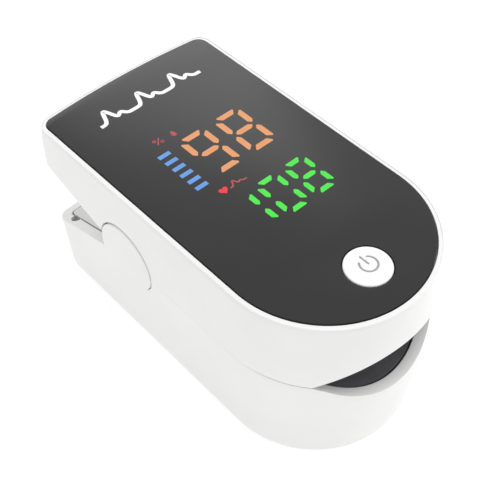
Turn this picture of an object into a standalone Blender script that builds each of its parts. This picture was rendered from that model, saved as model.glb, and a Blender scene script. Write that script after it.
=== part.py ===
"""Fingertip pulse oximeter: a sprung finger clamp with a display half and a battery half.

Frame: +Z up, length along Y, finger mouth at -Y, width along X.
Origin under the middle of the case, on the surface it rests on.
All constants are in millimetres; MM turns them into metres.
"""

import math

import bmesh
import bpy
from mathutils import Vector

MM = 0.001

# Plan outline of the case
ARC_Y = -14.25        # centre of the round front end
REAR_BOW = 0.70       # how far the rear edge bows out
CORNER_R = 2.4        # rear corner radius of the outer wall

# Outer wall: height, half width, front reach from ARC_Y, rear end at the corners
UPPER_WALL = (
    (20.15, 16.50, 16.85, 30.40),
    (24.50, 16.46, 16.80, 30.40),
    (28.50, 16.40, 16.60, 30.40),
    (31.00, 16.34, 16.42, 30.22),
    (32.45, 16.31, 16.31, 29.83),
)
LOWER_WALL = (
    (2.00, 15.72, 15.80, 29.90),
    (6.00, 15.86, 16.20, 30.05),
    (13.00, 16.08, 16.62, 30.28),
    (19.90, 16.45, 16.82, 30.40),
)
RIM_TOP = 33.00       # top of the white rim
BASE_R = 2.00         # fillet along the bottom edge
WALL = 1.70           # wall thickness
GAP = 0.25            # play between neighbouring pieces
FLOOR = 1.70          # thickness of the case floor
DECK = (30.70, 31.80) # shelf that carries the face plate

# Seam, hinge and the rear wedge between the halves
SEAM = (19.90, 20.15)
HINGE_Y = 9.60
HINGE_Z = 19.80
LOWER_SLOPE = -0.349
UPPER_SLOPE = 0.322
LOWER_RIM_AT_HINGE = 19.54
UPPER_EDGE_AT_HINGE = 19.21
CAP_R = 5.80
CAP_X = (14.65, 16.68)
CAP_HOLE_R = 6.05
EAR_X = (13.00, 14.35)
EAR_R = 4.30
LUG_X = (11.10, 12.70)
LUG_R = 3.60
PIN_R = 1.00
PIN_X = (7.90, 14.45)

# Finger mouth and channel
LIP_UP_R = 20.5
LIP_UP_Z = 25.15
LIP_LOW_R = 17.0
LIP_LOW_Z = 15.35
LIP_LOW_HALF = 10.90  # where the arc of the lower lip ends
LIP_LOW_FLANK = ((11.60, 19.46), (12.35, 19.62), (12.95, 20.02))
PAD = 1.00            # silicone thickness
CHANNEL_END = 4.00
# station along Y, lower half width, lower depth, upper half width, upper crest
CHANNEL = (
    (-34.0, 12.40, 15.30, 13.07, 25.20),
    (-28.5, 12.40, 15.30, 13.07, 25.20),
    (-21.5, 12.40, 15.65, 13.07, 24.60),
    (-17.0, 11.00, 16.00, 11.30, 24.20),
    (-12.5, 9.80, 16.20, 9.80, 24.00),
    (6.00, 9.80, 16.20, 9.80, 24.00),
)
PAD_EDGE_LOW = 19.70
PAD_EDGE_UP = 20.35

# Face plate, button and display stack
PLATE_Z = (32.00, 33.17)
PLATE_HW = 15.50
BUTTON_Y = -22.60
BUTTON_R = 3.37
BUTTON_HOLE_R = 3.55
BUTTON_TOP = 33.32
FLANGE_Z = (29.75, 30.50)
FLANGE_R = 4.40
BOARD_Z = (27.25, 28.05)
BOARD_HW = 10.60
DISPLAY_X = 9.50
DISPLAY_Y = (-10.50, 16.00)
DISPLAY_Z = (28.20, 31.75)

# Battery bay
CELL_X = 5.60
CELL_Z = 7.25
CELL_R = 5.25
DOOR_X = 11.50
DOOR_FRONT = -21.80
DOOR_TOP = 1.40
SCREW_X = 12.80
SCREW_Y = -6.00
SENSOR_Y = -12.50

# Everything that swings with the display half
UPPER_PARTS = (
    "upper_shell", "upper_inner_frame", "upper_pad", "face_plate", "main_board", "display_module",
    "microcontroller", "board_connector", "tactile_switch", "emitter_led", "emitter_window",
    "upper_screw_left", "upper_screw_right",
)


# ---------------------------------------------------------------- helpers

def collection(name):
    """Return a collection of this name linked to the scene."""
    found = bpy.data.collections.get(name)
    if found is None:
        found = bpy.data.collections.new(name)
        bpy.context.scene.collection.children.link(found)
    return found


def material(name, rgb, rough, metal=0.0):
    """Return a plain Principled material."""
    mat = bpy.data.materials.new(name)
    mat.use_nodes = True
    bsdf = mat.node_tree.nodes["Principled BSDF"]
    bsdf.inputs["Base Color"].default_value = (rgb[0], rgb[1], rgb[2], 1.0)
    bsdf.inputs["Roughness"].default_value = rough
    bsdf.inputs["Metallic"].default_value = metal
    return mat


def mesh_object(name, bm, group="parts"):
    """Close a bmesh into an object in the named collection."""
    bmesh.ops.recalc_face_normals(bm, faces=bm.faces)
    mesh = bpy.data.meshes.new(name)
    bm.to_mesh(mesh)
    bm.free()
    obj = bpy.data.objects.new(name, mesh)
    collection(group).objects.link(obj)
    return obj


def as_cutter(obj):
    """Move an object to the cutter collection and keep it out of the picture."""
    for coll in list(obj.users_collection):
        coll.objects.unlink(obj)
    collection("cutters").objects.link(obj)
    obj.hide_render = True
    obj.display_type = "WIRE"
    return obj


def boolean(obj, tool, operation="DIFFERENCE"):
    """Add an exact Boolean of obj with tool."""
    as_cutter(tool)
    mod = obj.modifiers.new(operation.lower() + "_" + tool.name, "BOOLEAN")
    mod.operation = operation
    mod.solver = "EXACT"
    mod.object = tool
    return obj


def loft(name, rings, group="parts"):
    """Skin a solid through rings of equal point counts (millimetres)."""
    bm = bmesh.new()
    rows = []
    for ring in rings:
        rows.append([bm.verts.new((p[0] * MM, p[1] * MM, p[2] * MM)) for p in ring])
    count = len(rows[0])
    for low, high in zip(rows, rows[1:]):
        for i in range(count):
            j = (i + 1) % count
            bm.faces.new((low[i], low[j], high[j], high[i]))
    bm.faces.new(list(reversed(rows[0])))
    bm.faces.new(rows[-1])
    return mesh_object(name, bm, group)


def box(name, lo, hi, group="parts", bevel=0.0):
    """Make a box from its low and high corners, with an optional edge bevel."""
    bm = bmesh.new()
    bmesh.ops.create_cube(bm, size=1.0)
    size = [(hi[i] - lo[i]) * MM for i in range(3)]
    mid = Vector([(hi[i] + lo[i]) * 0.5 * MM for i in range(3)])
    bmesh.ops.scale(bm, vec=size, verts=bm.verts)
    bmesh.ops.translate(bm, vec=mid, verts=bm.verts)
    if bevel > 0.0:
        bmesh.ops.bevel(bm, geom=list(bm.edges), offset=bevel * MM, segments=1, affect="EDGES")
    return mesh_object(name, bm, group)


def rod(name, start, end, radius, sides=32, end_radius=None, group="parts"):
    """Make a cylinder or cone between two points."""
    a = Vector(start) * MM
    b = Vector(end) * MM
    r2 = radius if end_radius is None else end_radius
    bm = bmesh.new()
    bmesh.ops.create_cone(bm, cap_ends=True, segments=sides, radius1=radius * MM,
                          radius2=r2 * MM, depth=(b - a).length)
    turn = (b - a).to_track_quat("Z", "Y").to_matrix()
    bmesh.ops.rotate(bm, cent=(0.0, 0.0, 0.0), matrix=turn, verts=bm.verts)
    bmesh.ops.translate(bm, vec=(a + b) * 0.5, verts=bm.verts)
    return mesh_object(name, bm, group)


def turned(name, profile, place, along, sides=32):
    """Turn a (distance along, radius) profile about the axis from place towards along."""
    outline = [(profile[0][0], 0.0)] + list(profile) + [(profile[-1][0], 0.0)]
    bm = bmesh.new()
    verts = [bm.verts.new((radius * MM, 0.0, dist * MM)) for dist, radius in reversed(outline)]
    for first, second in zip(verts, verts[1:]):
        bm.edges.new((first, second))
    mesh = bpy.data.meshes.new(name)
    bm.to_mesh(mesh)
    bm.free()
    obj = bpy.data.objects.new(name, mesh)
    collection("parts").objects.link(obj)
    obj.location = Vector(place) * MM
    obj.rotation_euler = Vector(along).to_track_quat("Z", "Y").to_euler()
    turn = obj.modifiers.new("turn", "SCREW")
    turn.axis = "Z"
    turn.angle = 2.0 * math.pi
    turn.steps = sides
    turn.render_steps = sides
    turn.use_merge_vertices = True
    turn.merge_threshold = 0.000001
    turn.use_smooth_shade = True
    return obj


def wall_at(table, z):
    """Interpolate half width, front reach and rear end of the wall at a height."""
    if z <= table[0][0]:
        return table[0][1:]
    for low, high in zip(table, table[1:]):
        if z <= high[0]:
            t = (z - low[0]) / (high[0] - low[0])
            return tuple(low[k] + t * (high[k] - low[k]) for k in (1, 2, 3))
    return table[-1][1:]


def plan(hw, reach, rear, z, inset=0.0, corner=CORNER_R, arc=40, bow=REAR_BOW):
    """Return one closed plan ring: round front, straight sides, bowed rear edge."""
    hw = hw - inset
    reach = reach - inset
    rear = rear - inset
    r = max(corner - inset, 0.8)
    ring = []
    for k in range(6):
        a = math.radians(18.0 * k)
        ring.append((hw - r + r * math.cos(a), rear - r + r * math.sin(a), z))
    half = hw - r
    for k in range(1, 6):
        x = half * (1.0 - 2.0 * k / 6.0)
        ring.append((x, rear + bow * (1.0 - (x / half) ** 2), z))
    for k in range(6):
        a = math.radians(90.0 + 18.0 * k)
        ring.append((-hw + r + r * math.cos(a), rear - r + r * math.sin(a), z))
    for y in (15.0, 4.0, -6.0):
        ring.append((-hw, y, z))
    for k in range(arc + 1):
        a = math.pi + math.pi * k / arc
        ring.append((hw * math.cos(a), ARC_Y + reach * math.sin(a), z))
    for y in (-6.0, 4.0, 15.0):
        ring.append((hw, y, z))
    return ring


def case_solid(name, table, heights, group="parts"):
    """Loft the case between heights; each height is (z, inset)."""
    rings = []
    for z, inset in heights:
        hw, reach, rear = wall_at(table, z)
        rings.append(plan(hw, reach, rear, z, inset))
    return loft(name, rings, group)


def upper_inside(name, z0, z1, inset):
    """Space inside the upper wall, used to trim what sits in it."""
    heights = [(z0, inset), (24.5, inset), (28.5, inset), (z1, inset)]
    return case_solid(name, UPPER_WALL, [h for h in heights if z0 <= h[0] <= z1], "cutters")


def lower_inside(name, z0, z1, inset):
    """Space inside the lower wall, used to trim what sits in it."""
    heights = [(z0, inset), (6.0, inset), (13.0, inset), (z1, inset)]
    return case_solid(name, LOWER_WALL, [h for h in heights if z0 <= h[0] <= z1], "cutters")


def prism_x(name, outline, x0, x1, group="cutters"):
    """Solid of constant (y, z) outline from x0 to x1."""
    rings = [[(x, p[0], p[1]) for p in outline] for x in (x0, x1)]
    return loft(name, rings, group)


def prism_y(name, outline, y0, y1, group="cutters"):
    """Solid of constant (x, z) outline from y0 to y1."""
    rings = [[(p[0], y, p[1]) for p in outline] for y in (y0, y1)]
    return loft(name, rings, group)


def arc_points(half, edge_z, deep_z, steps=21):
    """Points of the arc through (-half, edge), (0, deep) and (half, edge)."""
    sag = edge_z - deep_z
    radius = (half * half + sag * sag) / (2.0 * sag)
    swing = math.asin(max(-1.0, min(1.0, half / abs(radius))))
    if abs(sag) > half:
        swing = math.pi - swing
    points = []
    for k in range(steps + 1):
        a = -swing + 2.0 * swing * k / steps
        points.append((abs(radius) * math.sin(a), deep_z + radius - radius * math.cos(a)))
    return points


def lower_channel(name, grow, top, end, group="cutters"):
    """Finger channel space in the lower half, grown outwards by grow."""
    rings = []
    for y, half, deep, _half_up, _crest in CHANNEL:
        y = min(y, end)
        arc = arc_points(half + grow, PAD_EDGE_LOW, deep - grow)
        ring = [(x, y, z) for x, z in arc]
        ring.append((half + grow, y, top))
        ring.append((-half - grow, y, top))
        rings.append(ring)
    return loft(name, rings, group)


def upper_channel(name, grow, bottom, end, group="cutters"):
    """Finger channel space in the upper half, grown outwards by grow."""
    rings = []
    for y, _half_low, _deep, half, crest in CHANNEL:
        y = min(y, end)
        arc = arc_points(half + grow, PAD_EDGE_UP, crest + grow)
        ring = [(x, y, z) for x, z in arc]
        ring.append((half + grow, y, bottom))
        ring.append((-half - grow, y, bottom))
        rings.append(ring)
    return loft(name, rings, group)


def wire(name, points, radius, sides=3):
    """Round wire through points as a mesh; sides is the bevel resolution."""
    curve = bpy.data.curves.new(name, "CURVE")
    curve.dimensions = "3D"
    curve.bevel_depth = radius * MM
    curve.bevel_resolution = sides
    curve.use_fill_caps = True
    spline = curve.splines.new("POLY")
    spline.points.add(len(points) - 1)
    for point, place in zip(spline.points, points):
        point.co = (place[0] * MM, place[1] * MM, place[2] * MM, 1.0)
    temp = bpy.data.objects.new(name + "_curve", curve)
    collection("parts").objects.link(temp)
    graph = bpy.context.evaluated_depsgraph_get()
    mesh = bpy.data.meshes.new_from_object(temp.evaluated_get(graph))
    bpy.data.objects.remove(temp, do_unlink=True)
    bm = bmesh.new()
    bm.from_mesh(mesh)
    bmesh.ops.remove_doubles(bm, verts=bm.verts, dist=0.000001)
    bpy.data.meshes.remove(mesh)
    return mesh_object(name, bm)


def pivot(name, place, children):
    """Hang the named parts on an empty that sits on their joint's axis."""
    empty = bpy.data.objects.new(name, None)
    empty.location = Vector(place) * MM
    empty.empty_display_size = 0.005
    collection("parts").objects.link(empty)
    bpy.context.view_layer.update()
    for child in children:
        obj = bpy.data.objects[child]
        obj.parent = empty
        obj.matrix_parent_inverse = empty.matrix_world.inverted()
    return empty


def finish(obj, mat):
    """Give a part its material and smooth shading with sharp edges kept."""
    obj.data.materials.clear()
    obj.data.materials.append(mat)
    for poly in obj.data.polygons:
        poly.use_smooth = True
    obj.data.set_sharp_from_angle(angle=math.radians(32.0))
    return obj


def fillet(radius, steps):
    """Heights and insets of a rounded bottom edge, from the flat up."""
    pairs = []
    for k in range(steps + 1):
        a = 0.5 * math.pi * k / steps
        pairs.append((radius * (1.0 - math.cos(a)), radius * (1.0 - math.sin(a))))
    return pairs


def lower_rim_z(y):
    """Height of the sloped lower rim behind the hinge."""
    return LOWER_RIM_AT_HINGE + LOWER_SLOPE * (y - HINGE_Y)


def upper_edge_z(y):
    """Height of the sloped upper edge behind the hinge."""
    return UPPER_EDGE_AT_HINGE + UPPER_SLOPE * (y - HINGE_Y)


# ---------------------------------------------------------------- lower half

def build_lower_shell(mat):
    """Battery half of the case with its mouth, rear wedge and battery opening."""
    heights = fillet(BASE_R, 4)
    heights += [(6.0, 0.0), (9.5, 0.0), (13.0, 0.0), (16.5, 0.0), (SEAM[0], 0.0)]
    shell = case_solid("lower_shell", LOWER_WALL, heights)
    boolean(shell, lower_inside("cut_lower_hollow", FLOOR, 21.0, WALL))
    ribs = (
        ("rib_front", (-11.3, -24.3, 1.2), (11.3, -22.5, 12.2)),
        ("rib_rear", (-14.6, 25.35, 2.1), (14.6, 26.5, 11.8)),
    )
    for name, lo, hi in ribs:
        boolean(shell, box(name, lo, hi), "UNION")
    for side in (-1, 1):
        boss = rod("boss_%d" % side, (side * SCREW_X, SCREW_Y, 1.2), (side * SCREW_X, SCREW_Y, 18.2), 1.7, 16)
        boolean(shell, boss, "UNION")
        hole = rod("boss_hole_%d" % side, (side * SCREW_X, SCREW_Y, 9.0), (side * SCREW_X, SCREW_Y, 19.0), 0.95, 12)
        boolean(shell, hole)
    edge = LIP_LOW_Z + LIP_LOW_R - math.sqrt(LIP_LOW_R ** 2 - LIP_LOW_HALF ** 2)
    lip = [(-x, z) for x, z in reversed(LIP_LOW_FLANK)]
    lip += arc_points(LIP_LOW_HALF, edge, LIP_LOW_Z, 29)
    lip += LIP_LOW_FLANK
    lip += [(LIP_LOW_FLANK[-1][0], 24.0), (-LIP_LOW_FLANK[-1][0], 24.0)]
    boolean(shell, prism_y("cut_lower_mouth", lip, -36.0, -18.0))
    start = HINGE_Y - 1.6
    wedge = [(start, lower_rim_z(start)), (40.0, lower_rim_z(40.0)), (40.0, 40.0), (start, 40.0)]
    boolean(shell, prism_x("cut_lower_wedge", wedge, -25.0, 25.0))
    for side in (-1, 1):
        hole = rod("cut_lower_cap_%d" % side, (side * 13.0, HINGE_Y, HINGE_Z), (side * 19.0, HINGE_Y, HINGE_Z),
                   CAP_HOLE_R, 48)
        boolean(shell, hole)
    boolean(shell, box("cut_door", (-DOOR_X - GAP, DOOR_FRONT - GAP, -1.0), (DOOR_X + GAP, 40.0, FLOOR + 0.05)))
    boolean(shell, box("cut_rail", (-12.55, DOOR_FRONT, 0.45), (12.55, 40.0, 1.25)))
    boolean(shell, box("cut_lanyard_slot", (-15.05, 25.4, 9.6), (-13.0, 28.05, 22.0), bevel=0.6))
    boolean(shell, box("cut_lanyard_exit", (-13.9, 26.9, 9.6), (-12.2, 34.0, 11.4)))
    return finish(shell, mat)


def build_lower_frame(mat):
    """Inner frame of the lower half: finger tray, hinge ears and sloped rear deck."""
    top = SEAM[0]
    bend = HINGE_Y + (top - LOWER_RIM_AT_HINGE) / LOWER_SLOPE
    deck = [(-34.0, top), (bend, top), (34.0, lower_rim_z(34.0)),
            (34.0, lower_rim_z(34.0) - 1.4), (bend, top - 1.4), (-34.0, top - 1.4)]
    frame = prism_x("lower_inner_frame", deck, -20.0, 20.0, "parts")
    tray = lower_channel("tray_lower", PAD + GAP + 0.8, top - 0.01, CHANNEL_END + 1.2)
    boolean(frame, tray, "UNION")
    boolean(frame, lower_inside("trim_lower_frame", 5.0, 21.0, WALL + GAP), "INTERSECT")
    boolean(frame, lower_channel("pocket_lower", PAD + GAP, 24.0, CHANNEL_END + 0.2))
    for side in (-1, 1):
        lo = min(side * LUG_X[0] - side * 3.2, side * LUG_X[1] + side * 0.27)
        hi = max(side * LUG_X[0] - side * 3.2, side * LUG_X[1] + side * 0.27)
        slot = box("slot_lug_%d" % side, (lo, HINGE_Y - 4.3, 12.0), (hi, HINGE_Y + 4.6, 24.0))
        boolean(frame, slot)
        x0 = side * EAR_X[0]
        x1 = side * EAR_X[1]
        foot = box("ear_foot_%d" % side, (min(x0, x1), HINGE_Y - EAR_R, 15.4), (max(x0, x1), HINGE_Y + EAR_R, HINGE_Z))
        boolean(frame, foot, "UNION")
        ear = rod("ear_%d" % side, (x0, HINGE_Y, HINGE_Z), (x1, HINGE_Y, HINGE_Z), EAR_R, 40)
        boolean(frame, ear, "UNION")
        bore = rod("ear_bore_%d" % side, (side * 12.5, HINGE_Y, HINGE_Z), (side * 15.0, HINGE_Y, HINGE_Z), PIN_R + GAP, 24)
        boolean(frame, bore)
        hole = rod("screw_way_low_%d" % side, (side * SCREW_X, SCREW_Y, 10.0), (side * SCREW_X, SCREW_Y, 24.0), 0.95, 12)
        boolean(frame, hole)
        sink = rod("screw_sink_low_%d" % side, (side * SCREW_X, SCREW_Y, 18.85), (side * SCREW_X, SCREW_Y, 24.0), 1.55, 16)
        boolean(frame, sink)
    boolean(frame, box("sensor_way_low", (-3.6, SENSOR_Y - 3.0, 10.0), (3.6, SENSOR_Y + 3.0, 18.0)))
    boolean(frame, box("cut_frame_lanyard", (-16.0, 25.5, 5.0), (-13.2, 27.95, 24.0), bevel=0.5))
    return finish(frame, mat)


def build_lower_pad(mat):
    """Silicone pad lining the lower half of the finger channel."""
    pad = lower_channel("lower_pad", PAD, PAD_EDGE_LOW, CHANNEL_END, "parts")
    boolean(pad, lower_channel("pad_low_space", 0.0, 24.0, CHANNEL_END + 1.0))
    boolean(pad, lower_inside("trim_lower_pad", 5.0, 21.0, WALL + GAP), "INTERSECT")
    boolean(pad, box("pad_low_window", (-3.1, SENSOR_Y - 2.6, 10.0), (3.1, SENSOR_Y + 2.6, 20.0)))
    return finish(pad, mat)


def build_sensor(mats):
    """Detector board, photodiode, its window and the board's connector."""
    finish(box("sensor_board", (-6.0, -17.0, 12.75), (11.0, -8.0, 13.55)), mats["board"])
    finish(box("photodiode", (-2.4, SENSOR_Y - 2.0, 13.80), (2.4, SENSOR_Y + 2.0, 14.90), bevel=0.15), mats["chip"])
    finish(box("detector_window", (-2.85, SENSOR_Y - 2.35, 15.15), (2.85, SENSOR_Y + 2.35, 16.20), bevel=0.15),
           mats["clear"])
    finish(box("sensor_connector", (7.6, -15.3, 13.80), (10.6, -9.7, 15.30), bevel=0.15), mats["connector"])


def build_cells(mats):
    """Two AAA cells lying side by side with their contacts and springs."""
    body = 43.7
    for side, nub_end, name in ((-1, -21.7, "battery_left"), (1, 24.6, "battery_right")):
        forward = 1.0 if side < 0 else -1.0
        profile = [(0.0, 1.5), (0.1, 1.9), (0.8, 1.9), (0.82, 4.9), (1.15, CELL_R),
                   (0.8 + body - 0.35, CELL_R), (0.8 + body, 4.9)]
        cell = turned(name, profile, (side * CELL_X, nub_end, CELL_Z), (0.0, forward, 0.0), 32)
        finish(cell, mats["cell"])
    finish(box("contact_bridge", (-10.0, -22.30, 3.4), (10.0, -22.00, 11.0)), mats["steel"])
    finish(box("contact_negative", (-9.6, 24.85, 3.4), (-1.6, 25.15, 11.0)), mats["steel"])
    finish(box("contact_positive", (1.6, 24.85, 3.4), (9.6, 25.15, 11.0)), mats["steel"])
    for name, x, y0, y1 in (("battery_spring_front", CELL_X, -21.45, -20.25),
                            ("battery_spring_rear", -CELL_X, 24.30, 23.10)):
        turns = 2.6
        steps = 40
        points = []
        for k in range(steps + 1):
            t = k / steps
            a = 2.0 * math.pi * turns * t
            r = 3.3 - 1.3 * t
            points.append((x + r * math.cos(a), y0 + (y1 - y0) * t, CELL_Z + r * math.sin(a)))
        finish(wire(name, points, 0.22, 1), mats["steel"])


def build_hinge(mats):
    """Round side caps, hinge pins and the clamp's torsion springs."""
    for side, word in ((-1, "left"), (1, "right")):
        depth = CAP_X[1] - CAP_X[0]
        profile = [(0.0, CAP_R - 0.3), (0.3, CAP_R), (depth - 0.35, CAP_R), (depth - 0.1, CAP_R - 0.10),
                   (depth, CAP_R - 0.35)]
        cap = turned("hinge_cap_" + word, profile, (side * CAP_X[0], HINGE_Y, HINGE_Z), (side, 0.0, 0.0), 48)
        finish(cap, mats["white"])
        pin = rod("hinge_pin_" + word, (side * PIN_X[0], HINGE_Y, HINGE_Z), (side * PIN_X[1], HINGE_Y, HINGE_Z),
                  PIN_R, 24)
        finish(pin, mats["steel"])
        coil = 1.75
        thick = 0.33
        leg = 9.5
        foot_low = (HINGE_Y + leg, lower_rim_z(HINGE_Y + leg) + 0.62)
        foot_up = (HINGE_Y + leg, upper_edge_z(HINGE_Y + leg) - 0.62)
        points = [(side * 8.35, foot_low[0], foot_low[1])]
        steps = 44
        drop = foot_low[1] - HINGE_Z
        rise = foot_up[1] - HINGE_Z
        start = math.atan2(drop, leg) + math.acos(coil / math.hypot(drop, leg))
        stop = math.atan2(rise, leg) - math.acos(coil / math.hypot(rise, leg))
        sweep = stop - start + 6.0 * math.pi
        for k in range(steps + 1):
            t = k / steps
            a = start + sweep * t
            x = 8.35 + 2.25 * t
            points.append((side * x, HINGE_Y + coil * math.cos(a), HINGE_Z + coil * math.sin(a)))
        points.append((side * 10.60, foot_up[0], foot_up[1]))
        finish(wire("clamp_spring_" + word, points, thick, 1), mats["steel"])


def build_screw(name, x, head_z, tip_z, mat):
    """Self-tapping screw standing along Z with its head at head_z."""
    way = 1.0 if tip_z > head_z else -1.0
    reach = abs(tip_z - head_z)
    profile = [(0.0, 1.0), (0.15, 1.25), (0.75, 1.25), (0.9, 0.7), (reach - 0.6, 0.7), (reach, 0.3)]
    screw = turned(name, profile, (x, SCREW_Y, head_z), (0.0, 0.0, way), 16)
    slot_z = sorted((head_z - 0.5 * way, head_z + 0.4 * way))
    boolean(screw, box("slot_a_" + name, (x - 0.8, SCREW_Y - 0.14, slot_z[0]), (x + 0.8, SCREW_Y + 0.14, slot_z[1])))
    boolean(screw, box("slot_b_" + name, (x - 0.14, SCREW_Y - 0.8, slot_z[0]), (x + 0.14, SCREW_Y + 0.8, slot_z[1])))
    return finish(screw, mat)


def build_door(mat):
    """Sliding battery door that wraps round the rear bottom edge."""
    heights = [step for step in fillet(BASE_R, 4) if step[0] < DOOR_TOP]
    heights.append((DOOR_TOP, BASE_R - math.sqrt(BASE_R ** 2 - (BASE_R - DOOR_TOP) ** 2)))
    door = case_solid("battery_door", LOWER_WALL, heights)
    boolean(door, box("keep_door", (-DOOR_X, DOOR_FRONT, -1.0), (DOOR_X, 40.0, 5.0)), "INTERSECT")
    boolean(door, box("tongues", (-12.30, DOOR_FRONT + 0.4, 0.70), (12.30, 26.0, 1.10)), "UNION")
    for k in range(5):
        y = 14.0 + 1.6 * k
        boolean(door, box("grip_%d" % k, (-5.0, y, -1.0), (5.0, y + 0.8, 0.35)))
    return finish(door, mat)


# ---------------------------------------------------------------- upper half

def build_upper_shell(mat):
    """Display half of the case with its mouth, rear wedge and plate seat."""
    heights = [(SEAM[1], 0.0), (22.5, 0.0), (24.5, 0.0), (28.5, 0.0), (31.0, 0.0), (32.45, 0.0),
               (32.75, 0.08), (32.93, 0.24), (RIM_TOP, 0.46)]
    shell = case_solid("upper_shell", UPPER_WALL, heights)
    boolean(shell, upper_inside("cut_upper_hollow", 19.0, DECK[0], WALL))
    seat = plan(PLATE_HW + 0.22, 15.55 + 0.22, 29.02 + 0.22, DECK[1], 0.0, 1.67 + 0.22)
    seat_top = [(p[0], p[1], 36.0) for p in seat]
    boolean(shell, loft("cut_seat", [seat, seat_top], "cutters"))
    boolean(shell, box("cut_display", (-DISPLAY_X - GAP, DISPLAY_Y[0] - GAP, 25.0),
                       (DISPLAY_X + GAP, DISPLAY_Y[1] + GAP, 35.0)))
    boolean(shell, rod("cut_button_deck", (0.0, BUTTON_Y, 28.0), (0.0, BUTTON_Y, 35.0), BUTTON_HOLE_R, 40))
    half = math.sqrt(LIP_UP_R ** 2 - (LIP_UP_R - (LIP_UP_Z - SEAM[1] + 0.1)) ** 2)
    arc = arc_points(half, SEAM[1] - 0.1, LIP_UP_Z, 29)
    arc += [(half, 16.0), (-half, 16.0)]
    boolean(shell, prism_y("cut_upper_mouth", arc, -36.0, -18.0))
    wedge = [(HINGE_Y, upper_edge_z(HINGE_Y)), (40.0, upper_edge_z(40.0)), (40.0, 10.0), (HINGE_Y, 10.0)]
    boolean(shell, prism_x("cut_upper_wedge", wedge, -25.0, 25.0))
    for side in (-1, 1):
        hole = rod("cut_upper_cap_%d" % side, (side * 13.0, HINGE_Y, HINGE_Z), (side * 19.0, HINGE_Y, HINGE_Z),
                   CAP_HOLE_R, 48)
        boolean(shell, hole)
        boss = rod("boss_up_%d" % side, (side * SCREW_X, SCREW_Y, 21.7), (side * SCREW_X, SCREW_Y, 31.2), 1.7, 16)
        boolean(shell, boss, "UNION")
        hole = rod("boss_up_hole_%d" % side, (side * SCREW_X, SCREW_Y, 20.0), (side * SCREW_X, SCREW_Y, 29.5), 0.95, 12)
        boolean(shell, hole)
    return finish(shell, mat)


def build_upper_frame(mat):
    """Inner frame of the upper half: finger arch, hinge lugs and sloped rear deck."""
    low = SEAM[1]
    thick = 1.3
    bend = HINGE_Y + (low - UPPER_EDGE_AT_HINGE) / UPPER_SLOPE
    start = bend - 0.4
    z1 = upper_edge_z(34.0)
    deck = [(-34.0, 17.0), (start - 0.4, 17.0), (start, upper_edge_z(start)), (34.0, z1), (34.0, z1 + thick),
            (bend, low + thick), (-34.0, low + thick)]
    frame = prism_x("upper_inner_frame", deck, -20.0, 20.0, "parts")
    arch = upper_channel("arch_upper", PAD + GAP + 0.8, 16.0, CHANNEL_END + 1.2)
    boolean(frame, arch, "UNION")
    boolean(frame, upper_inside("trim_upper_frame", low, 30.0, WALL + GAP), "INTERSECT")
    boolean(frame, upper_channel("pocket_upper", PAD + GAP, 15.0, CHANNEL_END + 0.2))
    for side in (-1, 1):
        x0 = side * (LUG_X[1] + 0.06)
        x1 = side * 20.0
        slot = box("slot_ear_%d" % side, (min(x0, x1), HINGE_Y - 5.0, 15.0), (max(x0, x1), HINGE_Y + 5.0, 28.0))
        boolean(frame, slot)
        x0 = side * (LUG_X[0] - 0.3)
        x1 = side * (PIN_X[0] - 0.2)
        coil = box("slot_coil_%d" % side, (min(x0, x1), HINGE_Y - 3.0, 15.0), (max(x0, x1), HINGE_Y + 4.6, 28.0))
        boolean(frame, coil)
        x0 = side * LUG_X[0]
        x1 = side * LUG_X[1]
        web = box("lug_web_%d" % side, (min(x0, x1), HINGE_Y - 3.2, HINGE_Z), (max(x0, x1), HINGE_Y + 3.2, 21.9))
        boolean(frame, web, "UNION")
        lug = rod("lug_%d" % side, (x0 - side * 0.05, HINGE_Y, HINGE_Z), (x1 - side * 0.05, HINGE_Y, HINGE_Z), LUG_R, 40)
        boolean(frame, lug, "UNION")
        bore = rod("lug_bore_%d" % side, (side * 10.5, HINGE_Y, HINGE_Z), (side * 13.3, HINGE_Y, HINGE_Z),
                   PIN_R + 0.07, 24)
        boolean(frame, bore)
        hole = rod("screw_way_up_%d" % side, (side * SCREW_X, SCREW_Y, 15.0), (side * SCREW_X, SCREW_Y, 26.0), 0.95, 12)
        boolean(frame, hole)
        sink = rod("screw_sink_up_%d" % side, (side * SCREW_X, SCREW_Y, 15.0), (side * SCREW_X, SCREW_Y, 21.10), 1.55, 16)
        boolean(frame, sink)
    boolean(frame, box("emitter_way", (-3.4, SENSOR_Y - 2.8, 23.0), (3.4, SENSOR_Y + 2.8, 28.0)))
    return finish(frame, mat)


def build_upper_pad(mat):
    """Silicone pad lining the upper half of the finger channel."""
    pad = upper_channel("upper_pad", PAD, PAD_EDGE_UP, CHANNEL_END, "parts")
    boolean(pad, upper_channel("pad_up_space", 0.0, 15.0, CHANNEL_END + 1.0))
    boolean(pad, upper_inside("trim_upper_pad", 19.0, 30.0, WALL + GAP), "INTERSECT")
    boolean(pad, box("pad_up_window", (-3.1, SENSOR_Y - 2.6, 20.0), (3.1, SENSOR_Y + 2.6, 30.0)))
    return finish(pad, mat)


def build_face_plate(mat):
    """Dark face plate with the button's hole."""
    low = plan(PLATE_HW, 15.55, 29.02, PLATE_Z[0], 0.0, 1.67)
    mid = plan(PLATE_HW, 15.55, 29.02, PLATE_Z[1] - 0.12, 0.0, 1.67)
    top = plan(PLATE_HW, 15.55, 29.02, PLATE_Z[1], 0.12, 1.67)
    plate = loft("face_plate", [low, mid, top])
    boolean(plate, rod("cut_button_plate", (0.0, BUTTON_Y, 30.0), (0.0, BUTTON_Y, 35.0), BUTTON_HOLE_R, 48))
    return finish(plate, mat)


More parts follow.
